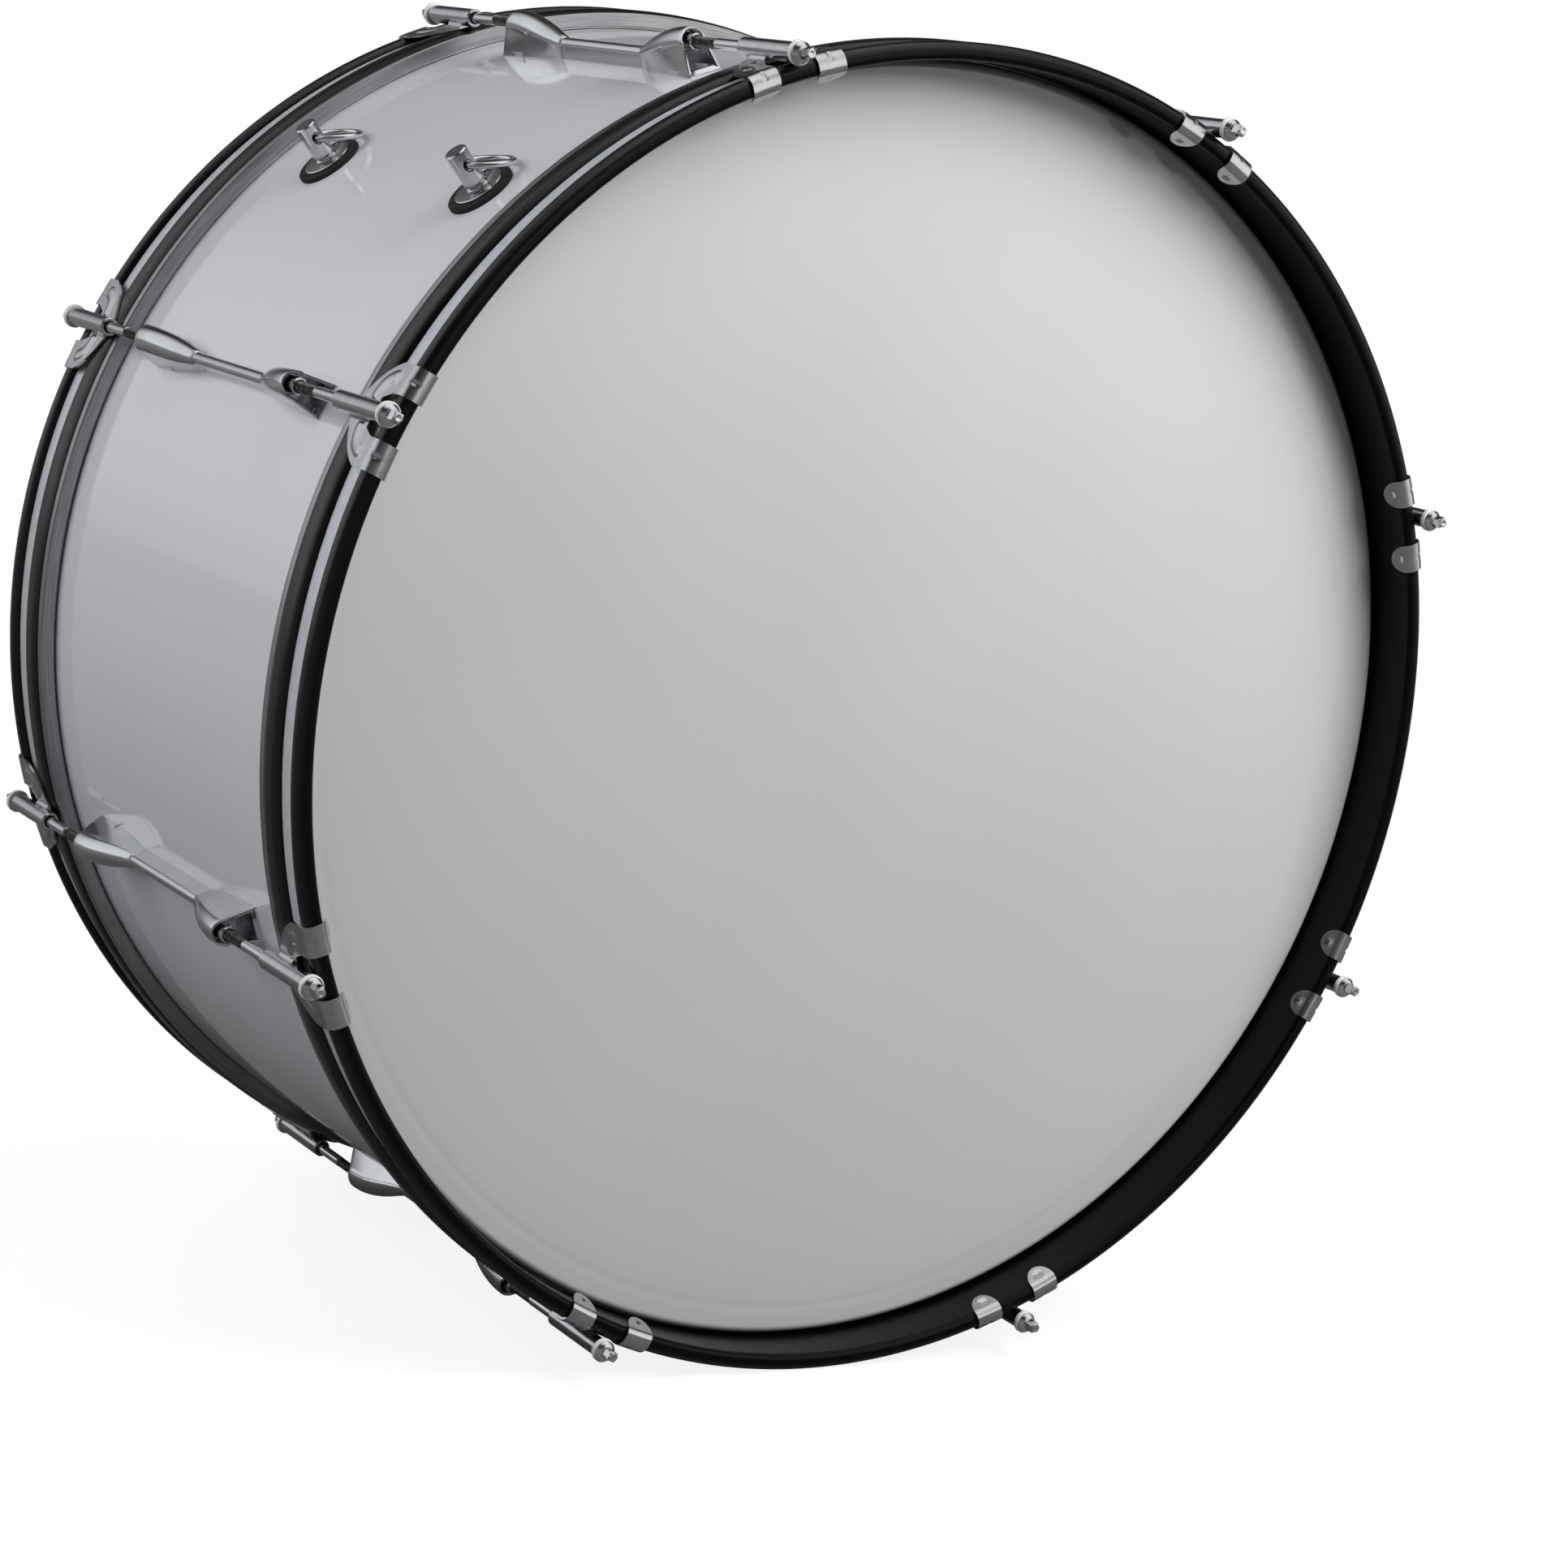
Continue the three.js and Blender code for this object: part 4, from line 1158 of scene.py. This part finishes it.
socket = turned("nut_socket", [
    (NUT_RADIUS, NUT_ENDS[0]), (SOCKET_RADIUS, NUT_ENDS[0]), (SOCKET_RADIUS, SOCKET_FRONT - NUT_ROUND),
    (SOCKET_RADIUS - NUT_ROUND, SOCKET_FRONT), (NUT_RADIUS + SOCKET_PLAY, SOCKET_FRONT),
], ROD_STEPS, STATION)
nut = turned("swivel_nut", [
    (SHANK_RADIUS + NUT_PLAY, NUT_ENDS[0]), (NUT_RADIUS, NUT_ENDS[0]), (NUT_RADIUS, NUT_ENDS[1] - NUT_ROUND),
    (NUT_RADIUS - NUT_ROUND, NUT_ENDS[1]), (SHANK_RADIUS + NUT_MOUTH, NUT_ENDS[1]),
    (SHANK_RADIUS + NUT_PLAY, NUT_ENDS[1] - NUT_MOUTH),
], ROD_STEPS, STATION)
fittings = [foot, back_wall, socket, nut]
fittings += [copied(piece, piece.name + "_far", FRONT) for piece in fittings]
bpy.ops.object.select_all(action="DESELECT")
for piece in fittings:
    piece.select_set(True)
lug.select_set(True)
bpy.context.view_layer.objects.active = lug
bpy.ops.object.join()
bpy.ops.object.shade_smooth_by_angle(angle=SMOOTH_ANGLE)
for k, turn in enumerate(TURNS):
    fit(copied(lug, f"bridge_lug_{k + 1}", turn), chrome_plate, "drum", "chrome", f"lug_{k + 1}")
bpy.data.objects.remove(lug)


# Sling-ring posts: turned posts screwed through a plate and a rubber gasket into the
# shell; each holds a welded ring in a cross hole near its top.
ACROSS = Vector((1, 0, 0))
POST_TURN = turn_round(-math.pi / 4)
POST_SPREAD = 83.3
SCREW_HOLE = 3
GASKET_RADIUS = 17.5
GASKET_ENDS = (329.9, 332.3)
GASKET_ROUND = 0.6
# The plate's top is flat round the post, then falls a little to a rim cut at a slant,
# given as the slant's width and how far its two edges lie under the top
PLATE_RADIUS = 13.0
PLATE_ENDS = (332.3, 333.6)
PLATE_FLAT = 6.8
PLATE_RIM = (0.4, 0.2, 0.5)
PLATE_STEPS = 64
# The post, with a neck turned above its foot: where it starts, is narrowest and ends
POST_RADIUS = 5.8
POST_ENDS = (333.6, 354.0)
POST_NECK = 4.5
POST_NECK_PLACES = (334.1, 335.0, 336.1)
POST_ROUND = 0.7
POST_STEPS = 48
HOLE_RADIUS = 2.75
HOLE_PLACE = 346.0
HOLE_FLARE = 1.4
HOLE_EASE = 0.8
RING_CIRCLE = 13.25
RING_WIRE = 1.75
RING_REACH = 12.58
RING_DROOP = math.radians(32.16)

# Moulded rubber: soot black and dull, with a sandy grain, drawn coarse enough to show
rubber = finish("moulded_rubber", Base_Color=paint("#0b0b0b"), Roughness=0.72, IOR=1.52)
rubber_place = node(rubber, "TexCoord")
rubber_grain = node(rubber, "TexNoise", {
    "Vector": rubber_place.outputs["Object"], "Scale": 1 / (0.8 * MM),
})
rubber_bump = node(rubber, "Bump", {
    "Height": rubber_grain.outputs["Fac"], "Strength": 0.3, "Distance": 0.1 * MM,
})
link(rubber, rubber_bump.outputs["Normal"], "Normal")

gasket = turned("gasket", [
    (SCREW_HOLE, GASKET_ENDS[0]), (GASKET_RADIUS, GASKET_ENDS[0]),
    (GASKET_RADIUS, GASKET_ENDS[1] - GASKET_ROUND), (GASKET_RADIUS - GASKET_ROUND, GASKET_ENDS[1]),
    (SCREW_HOLE, GASKET_ENDS[1]),
], PLATE_STEPS, AXLE, UP, ACROSS)
plate = turned("plate", [
    (SCREW_HOLE, PLATE_ENDS[0]), (PLATE_RADIUS, PLATE_ENDS[0]),
    (PLATE_RADIUS, PLATE_ENDS[1] - PLATE_RIM[2]), (PLATE_RADIUS - PLATE_RIM[0], PLATE_ENDS[1] - PLATE_RIM[1]),
    (PLATE_FLAT, PLATE_ENDS[1]), (SCREW_HOLE, PLATE_ENDS[1]),
], PLATE_STEPS, AXLE, UP, ACROSS)
post = turned("post", [
    (0, POST_ENDS[0]), (POST_RADIUS, POST_ENDS[0]), (POST_RADIUS, POST_NECK_PLACES[0]),
    (POST_NECK, POST_NECK_PLACES[1]), (POST_RADIUS, POST_NECK_PLACES[2]),
    (POST_RADIUS, POST_ENDS[1] - POST_ROUND), (POST_RADIUS - POST_ROUND, POST_ENDS[1]), (0, POST_ENDS[1]),
], POST_STEPS, AXLE, UP, ACROSS)
hole_centre = AXLE + UP * HOLE_PLACE * MM
hole_half = [
    (0, POST_RADIUS + CUT_PAST), (HOLE_RADIUS + HOLE_FLARE, POST_RADIUS + CUT_PAST),
    (HOLE_RADIUS, POST_RADIUS - HOLE_EASE),
]
hole = turned("post_hole", [(r, -d) for r, d in hole_half] + hole_half[::-1], ROD_STEPS, hole_centre)
combined(post, hole, "DIFFERENCE")
bpy.ops.object.shade_smooth_by_angle(angle=SMOOTH_ANGLE)
bpy.ops.object.select_all(action="DESELECT")
ring_centre = hole_centre + Matrix.Rotation(RING_DROOP, 3, "Y") @ (ACROSS * RING_REACH * MM)
bpy.ops.mesh.primitive_torus_add(
    major_radius=RING_CIRCLE * MM, minor_radius=RING_WIRE * MM, major_segments=64, minor_segments=20,
    location=ring_centre, rotation=(0, RING_DROOP, 0),
)
ring = bpy.context.object
bpy.ops.object.transform_apply()
bpy.ops.object.shade_smooth_by_angle(angle=SMOOTH_ANGLE)
for side, spread in (("rear", POST_SPREAD), ("front", -POST_SPREAD)):
    move = POST_TURN @ Matrix.Translation(DEPTH * spread * MM)
    for piece, stem, node_stem, material, slot, body in (
        (gasket, "post_gasket_rubber", "post_gasket", rubber, "black_rubber", "drum"),
        (plate, "post_base_plate", "post_plate", chrome_plate, "chrome", "drum"),
        (post, "turned_ring_post", "ring_post", chrome_plate, "chrome", "drum"),
        (ring, "welded_sling_ring", "ring", chrome_plate, "chrome", f"ring_{side}"),
    ):
        fit(copied(piece, f"{stem}_{side}", move), material, body, slot, f"{node_stem}_{side}")
for piece in (gasket, plate, post, ring):
    bpy.data.objects.remove(piece)
